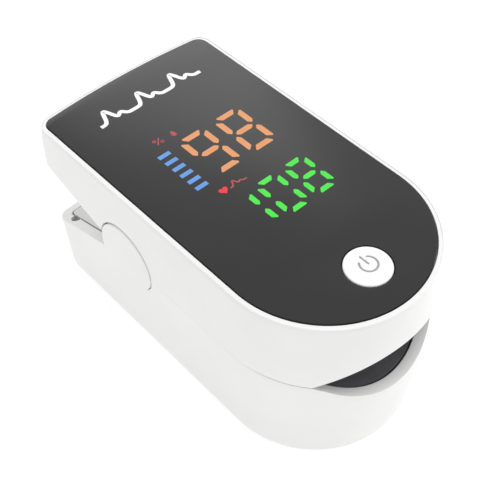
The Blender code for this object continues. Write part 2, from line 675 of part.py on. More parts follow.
def build_electronics(mats):
    """Main board with its parts, the display module and the emitter."""
    board = loft("main_board", [plan(BOARD_HW, 11.40, 25.0, BOARD_Z[0], 0.0, 1.5, 24, 0.0),
                                plan(BOARD_HW, 11.40, 25.0, BOARD_Z[1], 0.0, 1.5, 24, 0.0)])
    finish(board, mats["board"])
    finish(box("display_module", (-DISPLAY_X, DISPLAY_Y[0], DISPLAY_Z[0]), (DISPLAY_X, DISPLAY_Y[1], DISPLAY_Z[1]),
               bevel=0.3), mats["chip"])
    finish(box("microcontroller", (-3.6, 17.4, 28.20), (3.6, 24.0, 29.40), bevel=0.15), mats["chip"])
    finish(box("board_connector", (-4.0, 16.5, 25.20), (4.0, 20.5, 27.00), bevel=0.15), mats["connector"])
    profile = [(0.0, 2.2), (0.82, 2.2), (0.83, 1.3), (1.15, 1.3), (1.2, 1.15)]
    switch = turned("tactile_switch", profile, (0.0, BUTTON_Y, 28.20), (0.0, 0.0, 1.0), 24)
    finish(switch, mats["steel"])
    finish(box("emitter_led", (-2.0, SENSOR_Y - 1.6, 25.45), (2.0, SENSOR_Y + 1.6, 27.00), bevel=0.15), mats["connector"])
    finish(box("emitter_window", (-2.85, SENSOR_Y - 2.35, 24.10), (2.85, SENSOR_Y + 2.35, 25.20), bevel=0.15),
           mats["clear"])


def build_button(mat):
    """Power button: dished cap on a flange that stays under the deck."""
    profile = [(FLANGE_Z[0], FLANGE_R), (FLANGE_Z[1], FLANGE_R), (FLANGE_Z[1] + 0.01, BUTTON_R),
               (BUTTON_TOP - 0.30, BUTTON_R), (BUTTON_TOP - 0.09, BUTTON_R - 0.09), (BUTTON_TOP, BUTTON_R - 0.30)]
    button = turned("power_button", profile, (0.0, BUTTON_Y, 0.0), (0.0, 0.0, 1.0), 48)
    return finish(button, mat)


def main():
    """Build every part in the shared frame."""
    for obj in list(bpy.data.objects):
        bpy.data.objects.remove(obj, do_unlink=True)
    mats = {
        "white": material("white_abs", (0.86, 0.87, 0.88), 0.38),
        "frame": material("inner_abs", (0.78, 0.79, 0.80), 0.45),
        "silicone": material("grey_silicone", (0.05, 0.05, 0.055), 0.62),
        "acrylic": material("dark_acrylic", (0.06, 0.06, 0.06), 0.12),
        "button": material("button_abs", (0.88, 0.88, 0.89), 0.35),
        "cell": material("cell_sleeve", (0.05, 0.16, 0.38), 0.30, 0.4),
        "steel": material("nickel_steel", (0.70, 0.70, 0.72), 0.30, 1.0),
        "board": material("board_laminate", (0.02, 0.20, 0.10), 0.45),
        "chip": material("moulded_epoxy", (0.03, 0.03, 0.03), 0.50),
        "connector": material("connector_nylon", (0.80, 0.78, 0.70), 0.50),
        "clear": material("clear_window", (0.75, 0.80, 0.85), 0.08),
    }
    build_lower_shell(mats["white"])
    build_lower_frame(mats["frame"])
    build_lower_pad(mats["silicone"])
    build_sensor(mats)
    build_cells(mats)
    build_hinge(mats)
    build_screw("lower_screw_left", -SCREW_X, 19.80, 11.0, mats["steel"])
    build_screw("lower_screw_right", SCREW_X, 19.80, 11.0, mats["steel"])
    build_door(mats["white"])
    build_upper_shell(mats["white"])
    build_upper_frame(mats["frame"])
    build_upper_pad(mats["silicone"])
    build_face_plate(mats["acrylic"])
    build_electronics(mats)
    build_button(mats["button"])
    build_screw("upper_screw_left", -SCREW_X, 20.25, 28.2, mats["steel"])
    build_screw("upper_screw_right", SCREW_X, 20.25, 28.2, mats["steel"])
    hinge = pivot("clamp_hinge_axis", (0.0, HINGE_Y, HINGE_Z), UPPER_PARTS)
    button = pivot("power_button_axis", (0.0, BUTTON_Y, FLANGE_Z[0]), ("power_button",))
    button.parent = hinge
    button.matrix_parent_inverse = hinge.matrix_world.inverted()
    pivot("battery_door_axis", (0.0, DOOR_FRONT, 0.0), ("battery_door",))


main()
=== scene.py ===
"""Fingertip pulse oximeter: the finished surface of a sprung finger clamp.

Frame: +Z up, +Y towards the rear of the case, the finger mouth at -Y, and the origin
under the middle of the case. Sizes are in millimetres until a mesh is written.
"""

import logging
import math
from collections.abc import Sequence
from dataclasses import dataclass
from enum import Enum
from typing import Any

import bmesh
import bpy
from mathutils import Matrix, Vector


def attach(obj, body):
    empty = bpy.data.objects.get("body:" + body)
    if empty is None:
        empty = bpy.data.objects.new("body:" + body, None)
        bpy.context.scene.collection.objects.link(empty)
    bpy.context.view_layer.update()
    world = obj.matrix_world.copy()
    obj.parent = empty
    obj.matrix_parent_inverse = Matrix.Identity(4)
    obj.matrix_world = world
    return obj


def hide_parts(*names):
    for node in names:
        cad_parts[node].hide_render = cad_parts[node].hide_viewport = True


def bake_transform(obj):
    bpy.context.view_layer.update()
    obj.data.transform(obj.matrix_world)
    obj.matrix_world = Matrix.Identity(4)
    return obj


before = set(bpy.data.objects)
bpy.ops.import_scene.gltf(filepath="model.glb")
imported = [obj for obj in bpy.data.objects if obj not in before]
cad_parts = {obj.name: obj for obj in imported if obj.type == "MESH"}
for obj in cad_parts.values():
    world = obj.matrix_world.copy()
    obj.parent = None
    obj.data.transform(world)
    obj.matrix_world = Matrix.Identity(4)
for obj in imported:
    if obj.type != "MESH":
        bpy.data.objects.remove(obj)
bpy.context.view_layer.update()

LOG = logging.getLogger("oximeter")
MM = 0.001
WELD = 0.000001

# Places that several pieces share, in millimetres.
HINGE_Y = 9.60
HINGE_Z = 19.80
BUTTON_Y = -22.60
DOOR_HALF = 11.50
DOOR_FRONT = -21.80
BASE_RADIUS = 2.00
MOUTH_END = -18.0
CAP_SIDE = 10.0
PAST_REAR = 40.0

Flat = tuple[float, float]
Point = tuple[float, float, float]
Ring = list[Point]


class Body(Enum):
    """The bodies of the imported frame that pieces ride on."""

    LOWER = "lower_body"
    UPPER = "upper_body"
    BUTTON = "button_body"
    DOOR = "door_body"


class Segment(Enum):
    """The seven bars of a read-out digit, by their usual letters."""

    TOP = "a"
    UPPER_RIGHT = "b"
    LOWER_RIGHT = "c"
    BOTTOM = "d"
    LOWER_LEFT = "e"
    UPPER_LEFT = "f"
    MIDDLE = "g"


# ------------------------------------------------------------------ small tools

def linear(code: str) -> tuple[float, float, float, float]:
    """Turn an sRGB hex colour into linear RGBA.

    Args:
        code: Colour such as "#F4F4F2".

    Returns:
        Linear red, green, blue and an alpha of one.
    """
    values = [int(code[i:i + 2], 16) / 255.0 for i in (1, 3, 5)]
    line = [v / 12.92 if v <= 0.04045 else ((v + 0.055) / 1.055) ** 2.4 for v in values]
    return line[0], line[1], line[2], 1.0


def add_node(tree: bpy.types.NodeTree, kind: str, settings: dict[str, Any] | None = None,
             inputs: dict[Any, Any] | None = None) -> bpy.types.Node:
    """Add one node with its settings, socket values and incoming links.

    Args:
        tree: Node tree to add to.
        kind: Node type name.
        settings: Properties of the node.
        inputs: Socket name or index to a value, or to an output socket to link from.

    Returns:
        The new node.
    """
    node = tree.nodes.new(kind)
    for key, value in (settings or {}).items():
        setattr(node, key, value)
    for key, value in (inputs or {}).items():
        if isinstance(value, bpy.types.NodeSocket):
            tree.links.new(value, node.inputs[key])
        else:
            node.inputs[key].default_value = value
    return node


def new_object(name: str, mesh: bpy.types.Mesh) -> bpy.types.Object:
    """Link a mesh to the scene as an object at the origin."""
    obj = bpy.data.objects.new(name, mesh)
    bpy.context.scene.collection.objects.link(obj)
    return obj


def from_bmesh(name: str, bm: bmesh.types.BMesh, weld: bool = True) -> bpy.types.Object:
    """Write a bmesh out as an object with faces pointing out and, by default, doubles merged."""
    if weld:
        bmesh.ops.remove_doubles(bm, verts=bm.verts, dist=WELD)
    bmesh.ops.recalc_face_normals(bm, faces=bm.faces)
    mesh = bpy.data.meshes.new(name)
    bm.to_mesh(mesh)
    bm.free()
    return new_object(name, mesh)


def add_skin(bm: bmesh.types.BMesh, rings: Sequence[Ring], loop: bool = False) -> None:
    """Add a closed surface through rings of equal point counts.

    Args:
        bm: Mesh to add to.
        rings: Rings of points in millimetres, in order.
        loop: Join the last ring to the first instead of capping both.
    """
    rows = [[bm.verts.new((p[0] * MM, p[1] * MM, p[2] * MM)) for p in ring] for ring in rings]
    pairs = list(zip(rows, rows[1:]))
    if loop:
        pairs.append((rows[-1], rows[0]))
    count = len(rows[0])
    for low, high in pairs:
        for i in range(count):
            j = (i + 1) % count
            bm.faces.new((low[i], low[j], high[j], high[i]))
    if not loop:
        bm.faces.new(list(reversed(rows[0])))
        bm.faces.new(rows[-1])


def skin(name: str, rings: Sequence[Ring], loop: bool = False) -> bpy.types.Object:
    """Make an object of one closed surface through rings (millimetres)."""
    bm = bmesh.new()
    add_skin(bm, rings, loop)
    return from_bmesh(name, bm)


def turned(name: str, profile: Sequence[Flat], place: Point, along: Point,
           sides: int = 96) -> bpy.types.Object:
    """Turn a (distance along, radius) profile about an axis.

    Args:
        name: Name of the new object.
        profile: Outline from one end of the axis to the other, in millimetres.
        place: Start of the axis.
        along: Direction of the axis.
        sides: Number of facets round the axis.

    Returns:
        The new object; ends of zero radius close to a pole.
    """
    axis = Vector(along).normalized()
    side = axis.orthogonal().normalized()
    other = axis.cross(side)
    rings: list[Ring] = []
    for dist, radius in profile:
        centre = Vector(place) + axis * dist
        ring: Ring = []
        for k in range(sides):
            a = 2.0 * math.pi * k / sides
            p = centre + side * (radius * math.cos(a)) + other * (radius * math.sin(a))
            ring.append((p.x, p.y, p.z))
        rings.append(ring)
    return skin(name, rings)


def block(name: str, low: Point, high: Point, bevel: float = 0.0, rounds: int = 2) -> bpy.types.Object:
    """Make a box from its corners, with optional rounded edges (millimetres)."""
    bm = bmesh.new()
    bmesh.ops.create_cube(bm, size=1.0)
    size = [(high[i] - low[i]) * MM for i in range(3)]
    bmesh.ops.scale(bm, vec=size, verts=bm.verts)
    middle = Vector([(high[i] + low[i]) * 0.5 * MM for i in range(3)])
    bmesh.ops.translate(bm, vec=middle, verts=bm.verts)
    if bevel > 0.0:
        bmesh.ops.bevel(bm, geom=list(bm.edges), offset=bevel * MM, segments=rounds,
                        profile=0.5, affect="EDGES")
    return from_bmesh(name, bm)


def prism(name: str, outline: Sequence[Flat], z0: float, z1: float) -> bpy.types.Object:
    """Raise a flat outline into a prism between two heights (millimetres)."""
    return skin(name, [[(x, y, z) for x, y in outline] for z in (z0, z1)])


def tube(name: str, path: Sequence[Point], radius: float, sides: int = 16) -> bpy.types.Object:
    """Sweep a round wire along a path and close its ends (millimetres)."""
    points = [Vector(p) for p in path]
    tangents = []
    for behind, ahead in zip(points[:1] + points[:-1], points[1:] + points[-1:]):
        tangents.append((ahead - behind).normalized())
    side = tangents[0].orthogonal().normalized()
    rings: list[Ring] = []
    for point, tangent in zip(points, tangents):
        side = (side - tangent * side.dot(tangent)).normalized()
        other = tangent.cross(side)
        ring: Ring = []
        for k in range(sides):
            a = 2.0 * math.pi * k / sides
            p = point + side * (radius * math.cos(a)) + other * (radius * math.sin(a))
            ring.append((p.x, p.y, p.z))
        rings.append(ring)
    return skin(name, rings)


def bake(obj: bpy.types.Object) -> bpy.types.Object:
    """Turn an object's live modifiers into its plain mesh."""
    bpy.context.view_layer.update()
    graph = bpy.context.evaluated_depsgraph_get()
    mesh = bpy.data.meshes.new_from_object(obj.evaluated_get(graph))
    old = obj.data
    obj.modifiers.clear()
    obj.data = mesh
    bpy.data.meshes.remove(old)
    mesh.name = obj.name
    return obj


def open_group(name: str, sockets: dict[str, str]) -> tuple[bpy.types.NodeTree, Any]:
    """Start a Geometry Nodes tree from its inputs.

    Args:
        name: Name of the tree.
        sockets: Input name to the kind of socket, such as "Float".

    Returns:
        The tree, and the sockets that bring its inputs in.
    """
    tree = bpy.data.node_groups.new(name, "GeometryNodeTree")
    for label, kind in sockets.items():
        tree.interface.new_socket(label, in_out="INPUT", socket_type="NodeSocket" + kind)
    tree.interface.new_socket("Geometry", in_out="OUTPUT", socket_type="NodeSocketGeometry")
    return tree, tree.nodes.new("NodeGroupInput").outputs


def row_of(tree: bpy.types.NodeTree, given: Any, piece: bpy.types.NodeSocket) -> bpy.types.NodeSocket:
    """Return copies of a piece in a row along Y, by the inputs Count, Start and Pitch."""
    step = add_node(tree, "ShaderNodeCombineXYZ", inputs={"Y": given["Pitch"]})
    line = add_node(tree, "GeometryNodeMeshLine", inputs={
        "Count": given["Count"], "Start Location": given["Start"], "Offset": step.outputs["Vector"]})
    copies = add_node(tree, "GeometryNodeInstanceOnPoints", inputs={
        "Points": line.outputs["Mesh"], "Instance": piece})
    return copies.outputs["Instances"]


def close_group(tree: bpy.types.NodeTree, geometry: bpy.types.NodeSocket,
                material: bpy.types.NodeSocket) -> None:
    """End a Geometry Nodes tree: make its copies real and give them their material."""
    real = add_node(tree, "GeometryNodeRealizeInstances", inputs={"Geometry": geometry})
    dressed = add_node(tree, "GeometryNodeSetMaterial", inputs={
        "Geometry": real.outputs["Geometry"], "Material": material})
    add_node(tree, "NodeGroupOutput", inputs={"Geometry": dressed.outputs["Geometry"]})


def grown(name: str, tree: bpy.types.NodeTree, values: dict[str, Any]) -> bpy.types.Object:
    """Run a Geometry Nodes tree once and keep the result as a plain mesh.

    Args:
        name: Name of the new object.
        tree: Geometry node tree.
        values: Input name to value.

    Returns:
        The new object, with the modifier gone.
    """
    obj = new_object(name, bpy.data.meshes.new(name))
    mod = obj.modifiers.new("grow", "NODES")
    mod.node_group = tree
    ids = {item.name: item.identifier for item in tree.interface.items_tree if item.in_out == "INPUT"}
    for key, value in values.items():
        mod[ids[key]] = value
    obj.update_tag()
    return bake(obj)


def carve(obj: bpy.types.Object, tools: Sequence[bpy.types.Object],
          operation: str = "DIFFERENCE") -> bpy.types.Object:
    """Apply one exact Boolean per tool and remove the tools."""
    for tool in tools:
        mod = obj.modifiers.new("carve", "BOOLEAN")
        mod.operation = operation
        mod.solver = "EXACT"
        mod.object = tool
    bake(obj)
    for tool in tools:
        bpy.data.objects.remove(tool, do_unlink=True)
    return obj


def round_edges(obj: bpy.types.Object, width: float, angle: float = 40.0,
                rounds: int = 2) -> bpy.types.Object:
    """Round every edge sharper than an angle, as a mould does."""
    mod = obj.modifiers.new("round", "BEVEL")
    mod.width = width * MM
    mod.segments = rounds
    mod.limit_method = "ANGLE"
    mod.angle_limit = math.radians(angle)
    mod.use_clamp_overlap = True
    return bake(obj)


def smooth(obj: bpy.types.Object, angle: float = 38.0) -> bpy.types.Object:
    """Shade a mesh smooth with edges above an angle kept sharp."""
    for poly in obj.data.polygons:
        poly.use_smooth = True
    obj.data.set_sharp_from_angle(angle=math.radians(angle))
    return obj


def refined(name: str, node: str, width: float) -> bpy.types.Object:
    """Copy a CAD node, merge its loose triangles and round its edges.

    Args:
        name: Name of the finer piece.
        node: CAD node to copy.
        width: Radius of the rounded edges in millimetres, or zero for none.

    Returns:
        The new object.
    """
    bm = bmesh.new()
    bm.from_mesh(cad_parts[node].data)
    bmesh.ops.remove_doubles(bm, verts=bm.verts, dist=WELD * 0.5)
    bmesh.ops.dissolve_limit(bm, angle_limit=math.radians(1.0), verts=bm.verts, edges=bm.edges)
    obj = from_bmesh(name, bm)
    if width > 0.0:
        round_edges(obj, width, 42.0)
    return obj


def settle(obj: bpy.types.Object, body: Body, finish: "Finish", *nodes: str,
           angle: float = 38.0) -> bpy.types.Object:
    """Shade, dress and hang a finished piece on its body.

    Args:
        obj: The finished mesh object.
        body: Body it rides on.
        finish: Its surface finish.
        nodes: CAD nodes that it stands for.
        angle: Smallest edge angle that stays sharp.

    Returns:
        The same object.
    """
    smooth(obj, angle)
    obj.data.materials.clear()
    obj.data.materials.append(finish.material())
    if nodes:
        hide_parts(*nodes)
    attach(obj, body.value)
    LOG.info("%s: %d faces on %s", obj.name, len(obj.data.polygons), body.value)
    return obj


def dress(node: str, finish: "Finish") -> None:
    """Give a carried-over CAD node its finish."""
    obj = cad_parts[node]
    made = finish.material()
    if obj.material_slots:
        for entry in obj.material_slots:
            entry.material = made
    else:
        obj.data.materials.append(made)
    LOG.info("%s: carried over with %s", node, finish.name)


def arc(half: float, edge_z: float, deep_z: float, steps: int) -> list[Flat]:
    """Return the arc through (-half, edge), (0, deep) and (half, edge)."""
    sag = edge_z - deep_z
    radius = (half * half + sag * sag) / (2.0 * sag)
    swing = math.asin(max(-1.0, min(1.0, half / abs(radius))))
    points = []
    for k in range(steps + 1):
        a = -swing + 2.0 * swing * k / steps
        points.append((abs(radius) * math.sin(a), deep_z + radius - radius * math.cos(a)))
    return points


# ------------------------------------------------------------------ finishes

@dataclass(frozen=True)
class Finish:
    """A surface: what it is made of, how it was made, and its pattern sizes."""

    name: str
    slot: str
    colour: str
    shade: str
    roughness: float
    grain_mm: float = 0.30
    grain_depth_mm: float = 0.004
    cloud_mm: float = 9.0
    spread: float = 0.05
    metallic: float = 0.0
    coat: float = 0.0

    def material(self) -> bpy.types.Material:
        """Return the material, built once and then shared."""
        found = bpy.data.materials.get(self.name)
        if found is not None:
            return found
        made = bpy.data.materials.new(self.name)
        made.use_nodes = True
        tree = made.node_tree
        tree.nodes.clear()
        place = add_node(tree, "ShaderNodeTexCoord").outputs["Object"]
        shader = add_node(tree, "ShaderNodeBsdfPrincipled",
                          inputs={"Metallic": self.metallic, "Coat Weight": self.coat})
        self.paint(tree, shader, place)
        add_node(tree, "ShaderNodeOutputMaterial", inputs={"Surface": shader.outputs["BSDF"]})
        return made

    def paint(self, tree: bpy.types.NodeTree, shader: bpy.types.Node,
              place: bpy.types.NodeSocket) -> None:
        """Link the default look: a faint cloud in the colour, and a fine moulded grain.

        Args:
            tree: The material's tree.
            shader: Its Principled shader.
            place: Object coordinates, in metres.
        """
        tree.links.new(self.cloud(tree, place, self.shade, self.colour), shader.inputs["Base Color"])
        tree.links.new(self.sheen_break(tree, place), shader.inputs["Roughness"])
        tree.links.new(self.grain(tree, place), shader.inputs["Normal"])

    def cloud(self, tree: bpy.types.NodeTree, place: bpy.types.NodeSocket, dark: str,
              light: str) -> bpy.types.NodeSocket:
        """Return a colour that drifts between two shades over cloud_mm."""
        noise = add_node(tree, "ShaderNodeTexNoise", inputs={
            "Vector": place, "Scale": 1.0 / (self.cloud_mm * MM), "Detail": 3.0, "Roughness": 0.55})
        ramp = add_node(tree, "ShaderNodeValToRGB", inputs={"Fac": noise.outputs["Fac"]})
        ramp.color_ramp.elements[0].position = 0.30
        ramp.color_ramp.elements[0].color = linear(dark)
        ramp.color_ramp.elements[1].position = 0.70
        ramp.color_ramp.elements[1].color = linear(light)
        return ramp.outputs["Color"]

    def sheen_break(self, tree: bpy.types.NodeTree, place: bpy.types.NodeSocket) -> bpy.types.NodeSocket:
        """Return a roughness that varies a little, as handling and moulding leave it."""
        noise = add_node(tree, "ShaderNodeTexNoise", inputs={
            "Vector": place, "Scale": 0.45 / (self.cloud_mm * MM), "Detail": 5.0, "Roughness": 0.6})
        span = add_node(tree, "ShaderNodeMapRange", inputs={
            "Value": noise.outputs["Fac"], "From Min": 0.3, "From Max": 0.7,
            "To Min": max(self.roughness - self.spread, 0.02), "To Max": self.roughness + self.spread})
        return span.outputs["Result"]

    def grain(self, tree: bpy.types.NodeTree, place: bpy.types.NodeSocket) -> bpy.types.NodeSocket:
        """Return the normal of a fine random grain of grain_mm."""
        noise = add_node(tree, "ShaderNodeTexNoise", inputs={
            "Vector": place, "Scale": 1.0 / (self.grain_mm * MM), "Detail": 2.0, "Roughness": 0.5})
        bump = add_node(tree, "ShaderNodeBump", inputs={
            "Height": noise.outputs["Fac"], "Distance": self.grain_depth_mm * MM, "Strength": 1.0})
        return bump.outputs["Normal"]


@dataclass(frozen=True)
class SparkPlastic(Finish):
    """ABS from a spark-eroded mould: a fine even pitting that takes the shine off."""

    pit_mm: float = 0.22

    def grain(self, tree: bpy.types.NodeTree, place: bpy.types.NodeSocket) -> bpy.types.NodeSocket:
        """Return the normal of small rounded pits over a softer waviness."""
        pits = add_node(tree, "ShaderNodeTexVoronoi", {"feature": "SMOOTH_F1"}, {
            "Vector": place, "Scale": 1.0 / (self.pit_mm * MM), "Smoothness": 0.7})
        first = add_node(tree, "ShaderNodeBump", inputs={
            "Height": pits.outputs["Distance"], "Distance": self.grain_depth_mm * MM, "Strength": 0.6})
        wave = add_node(tree, "ShaderNodeTexNoise", inputs={
            "Vector": place, "Scale": 1.0 / (self.grain_mm * 12.0 * MM), "Detail": 1.0})
        bump = add_node(tree, "ShaderNodeBump", inputs={
            "Height": wave.outputs["Fac"], "Distance": self.grain_depth_mm * 2.0 * MM,
            "Strength": 0.5, "Normal": first.outputs["Normal"]})
        return bump.outputs["Normal"]


@dataclass(frozen=True)
class LitPrint(Finish):
    """A lit window of the read-out: light spread by a diffuser, a little uneven."""

    glow: float = 0.92

    def paint(self, tree: bpy.types.NodeTree, shader: bpy.types.Node,
              place: bpy.types.NodeSocket) -> None:
        """Link a diffused glow that falls off slightly between the lamps behind it."""
        shader.inputs["Base Color"].default_value = linear("#1C1C1C")
        tint = self.cloud(tree, place, self.shade, self.colour)
        tree.links.new(tint, shader.inputs["Emission Color"])
        shader.inputs["Emission Strength"].default_value = self.glow
        tree.links.new(self.sheen_break(tree, place), shader.inputs["Roughness"])


@dataclass(frozen=True)
class DrawnMetal(Finish):
    """Plated wire or strip: fine lines along the direction it was drawn in."""

    axis: Point = (1.0, 0.06, 1.0)

    def grain(self, tree: bpy.types.NodeTree, place: bpy.types.NodeSocket) -> bpy.types.NodeSocket:
        """Return the normal of long scratches, squeezed across the drawing direction."""
        stretch = add_node(tree, "ShaderNodeMapping", inputs={"Vector": place, "Scale": self.axis})
        noise = add_node(tree, "ShaderNodeTexNoise", inputs={
            "Vector": stretch.outputs["Vector"], "Scale": 1.0 / (self.grain_mm * MM), "Detail": 3.0})
        bump = add_node(tree, "ShaderNodeBump", inputs={
            "Height": noise.outputs["Fac"], "Distance": self.grain_depth_mm * MM, "Strength": 0.8})
        return bump.outputs["Normal"]


@dataclass(frozen=True)
class Sleeve(Finish):
    """Printed cell sleeve: a dark body with a bright band at the positive end."""

    band: str = "#C98A3A"
    band_from_mm: float = 12.0
    reach_mm: float = 30.0
    nub_at_front: bool = True

    def paint(self, tree: bpy.types.NodeTree, shader: bpy.types.Node,
              place: bpy.types.NodeSocket) -> None:
        """Link the two printed colours, split by a thin pale line across the cell."""
        split = add_node(tree, "ShaderNodeSeparateXYZ", inputs={"Vector": place})
        sign = -1.0 if self.nub_at_front else 1.0
        along = add_node(tree, "ShaderNodeMath", {"operation": "MULTIPLY"}, {
            0: split.outputs["Y"], 1: sign})
        ramp = add_node(tree, "ShaderNodeMapRange", inputs={
            "Value": along.outputs["Value"], "From Min": (self.band_from_mm - self.reach_mm) * MM,
            "From Max": (self.band_from_mm + self.reach_mm) * MM})
        print_ramp = add_node(tree, "ShaderNodeValToRGB", {}, {"Fac": ramp.outputs["Result"]})
        print_ramp.color_ramp.interpolation = "CONSTANT"
        print_ramp.color_ramp.elements[0].color = linear(self.colour)
        print_ramp.color_ramp.elements[1].position = 0.52
        print_ramp.color_ramp.elements[1].color = linear(self.band)
        line = print_ramp.color_ramp.elements.new(0.505)
        line.color = linear("#E8E4DA")
        tree.links.new(print_ramp.outputs["Color"], shader.inputs["Base Color"])
        tree.links.new(self.sheen_break(tree, place), shader.inputs["Roughness"])
        tree.links.new(self.grain(tree, place), shader.inputs["Normal"])


@dataclass(frozen=True)
class Laminate(Finish):
    """Glass-epoxy board under solder resist: tracks show as slightly lighter lines."""

    track_mm: float = 0.9

    def paint(self, tree: bpy.types.NodeTree, shader: bpy.types.Node,
              place: bpy.types.NodeSocket) -> None:
        """Link a bent grid of tracks under the resist."""
        cells = add_node(tree, "ShaderNodeTexVoronoi", {"feature": "DISTANCE_TO_EDGE"}, {
            "Vector": place, "Scale": 0.4 / (self.track_mm * MM), "Randomness": 0.35})
        ramp = add_node(tree, "ShaderNodeValToRGB", inputs={"Fac": cells.outputs["Distance"]})
        ramp.color_ramp.elements[0].position = 0.06
        ramp.color_ramp.elements[0].color = linear(self.shade)
        ramp.color_ramp.elements[1].position = 0.09
        ramp.color_ramp.elements[1].color = linear(self.colour)
        tree.links.new(ramp.outputs["Color"], shader.inputs["Base Color"])
        tree.links.new(self.sheen_break(tree, place), shader.inputs["Roughness"])


@dataclass(frozen=True)
class ClearWindow(Finish):
    """Polished clear acrylic over the lamp and its sensor."""

    def paint(self, tree: bpy.types.NodeTree, shader: bpy.types.Node,
              place: bpy.types.NodeSocket) -> None:
        """Link a faint cloud, and let most of the light through."""
        tree.links.new(self.cloud(tree, place, self.shade, self.colour), shader.inputs["Base Color"])
        tree.links.new(self.sheen_break(tree, place), shader.inputs["Roughness"])
        shader.inputs["Transmission Weight"].default_value = 0.7
        shader.inputs["IOR"].default_value = 1.49


# Injection-moulded ABS from a spark-eroded tool: white, satin, very fine pits.
WHITE_ABS = SparkPlastic("moulded_white_abs", "white_abs", "#F3F3F2", "#EFEFEE", 0.36,
                         grain_depth_mm=0.003, cloud_mm=14.0, spread=0.04)
# The inner frames come from a coarser tool, so they are a shade greyer and duller.
INNER_ABS = SparkPlastic("moulded_inner_abs", "inner_abs", "#E6E6E5", "#DFDFDE", 0.48,
                         grain_depth_mm=0.005, cloud_mm=8.0, pit_mm=0.30)
# Button in the same ABS with a smoother tool face.
BUTTON_ABS = SparkPlastic("moulded_button_abs", "button_abs", "#F6F6F5", "#F1F1F0", 0.32,
                          grain_depth_mm=0.002, pit_mm=0.18)
# Painted shade on the floor of the engraved mark on the button: a grey that stands in for the shadow in the
# groove.
ENGRAVED_PAINTED_SHADE = Finish("engraved_grey_mark", "button_abs", "#B4B4B5", "#A8A8AA", 0.55,
                      grain_mm=0.10, cloud_mm=1.2)
# Liquid-moulded silicone: soft, matt, with a fine bloom of talc.
SILICONE = Finish("moulded_grey_silicone", "grey_silicone", "#57575A", "#4D4D50", 0.66,
                  grain_mm=0.45, grain_depth_mm=0.012, cloud_mm=5.0, spread=0.08)
# Tinted hard-coated acrylic sheet: even dark grey with a broad soft reflection.
ACRYLIC = Finish("hardcoated_dark_acrylic", "dark_acrylic", "#262627", "#232324", 0.26,
                 grain_mm=0.60, grain_depth_mm=0.0008, cloud_mm=20.0, spread=0.04)
# Lit windows of the read-out: clear epoxy over coloured lamps, even and slightly soft.
BLUE_LIGHT = LitPrint("lit_blue_bar", "moulded_epoxy", "#64A2ED", "#589AE8", 0.4, cloud_mm=1.5)
ORANGE_LIGHT = LitPrint("lit_orange_segment", "moulded_epoxy", "#EEA36B", "#E99A60", 0.4, cloud_mm=1.5)
GREEN_LIGHT = LitPrint("lit_green_segment", "moulded_epoxy", "#47F344", "#3DEA3B", 0.4, cloud_mm=1.5)
RED_LIGHT = LitPrint("lit_red_mark", "moulded_epoxy", "#FB2028", "#F21D26", 0.4, cloud_mm=1.0)
DIM_RED_LIGHT = LitPrint("lit_dim_red_mark", "moulded_epoxy", "#BC4650", "#AC3C46", 0.4, cloud_mm=1.0)
# White screen print on the plate.
WHITE_PRINT = Finish("screen_printed_white", "dark_acrylic", "#FCFCFC", "#F4F4F4", 0.5,
                     grain_mm=0.12, grain_depth_mm=0.002, cloud_mm=2.0)
# Nickel-plated spring steel, drawn as wire or rolled as strip.
STEEL = DrawnMetal("nickel_plated_steel", "nickel_steel", "#D2D0CB", "#C4C2BD", 0.26,
                   grain_mm=0.12, grain_depth_mm=0.004, metallic=1.0)
# Shrunk and printed film sleeves; the two cells lie opposite ways.
BLUE_SLEEVE = Sleeve("printed_cell_sleeve_front", "cell_sleeve", "#1C3F73", "#1A3A6B", 0.28,
                     grain_mm=0.8, metallic=0.35, band_from_mm=9.0, nub_at_front=True)
BLUE_SLEEVE_REAR = Sleeve("printed_cell_sleeve_rear", "cell_sleeve", "#1C3F73", "#1A3A6B", 0.28,
                          grain_mm=0.8, metallic=0.35, band_from_mm=12.0, nub_at_front=False)
# Boards, their chips and their sockets.
BOARD = Laminate("solder_resist_laminate", "board_laminate", "#0F5A36", "#1F7A4C", 0.38)
EPOXY = Finish("moulded_black_epoxy", "moulded_epoxy", "#2A2A2C", "#242426", 0.52, grain_mm=0.15)
NYLON = Finish("moulded_cream_nylon", "connector_nylon", "#E6DFCC", "#DDD5C0", 0.50, grain_mm=0.20)
# Clear moulded acrylic over the lamp and the sensor.
WINDOW = ClearWindow("polished_clear_window", "clear_window", "#DDE4EA", "#D2DAE2", 0.08)


# ------------------------------------------------------------------ the case outline

@dataclass(frozen=True)
class Wall:
    """Half width, front reach and rear end of a wall at one height."""

    half: float
    reach: float
    rear: float


@dataclass(frozen=True)
class WallTable:
    """Wall sizes at a few heights, with a smooth curve through them."""

    rows: tuple[tuple[float, float, float, float], ...]

    def at(self, z: float) -> Wall:
        """Return the wall at a height, on a smooth curve through the rows."""
        rows = self.rows
        if z <= rows[0][0]:
            return Wall(*rows[0][1:])
        if z >= rows[-1][0]:
            return Wall(*rows[-1][1:])
        k = next(i for i in range(len(rows) - 1) if z <= rows[i + 1][0])
        z0, z1 = rows[k][0], rows[k + 1][0]
        t = (z - z0) / (z1 - z0)
        values = []
        for c in (1, 2, 3):
            before = self.slope(k, c) * (z1 - z0)
            after = self.slope(k + 1, c) * (z1 - z0)
            p0, p1 = rows[k][c], rows[k + 1][c]
            values.append((2 * t ** 3 - 3 * t ** 2 + 1) * p0 + (t ** 3 - 2 * t ** 2 + t) * before
                          + (3 * t ** 2 - 2 * t ** 3) * p1 + (t ** 3 - t ** 2) * after)
        return Wall(*values)

    def slope(self, k: int, column: int) -> float:
        """Return the slope of one column at row k, from the rows beside it."""
        low = self.rows[max(k - 1, 0)]
        high = self.rows[min(k + 1, len(self.rows) - 1)]
        return (high[column] - low[column]) / (high[0] - low[0])


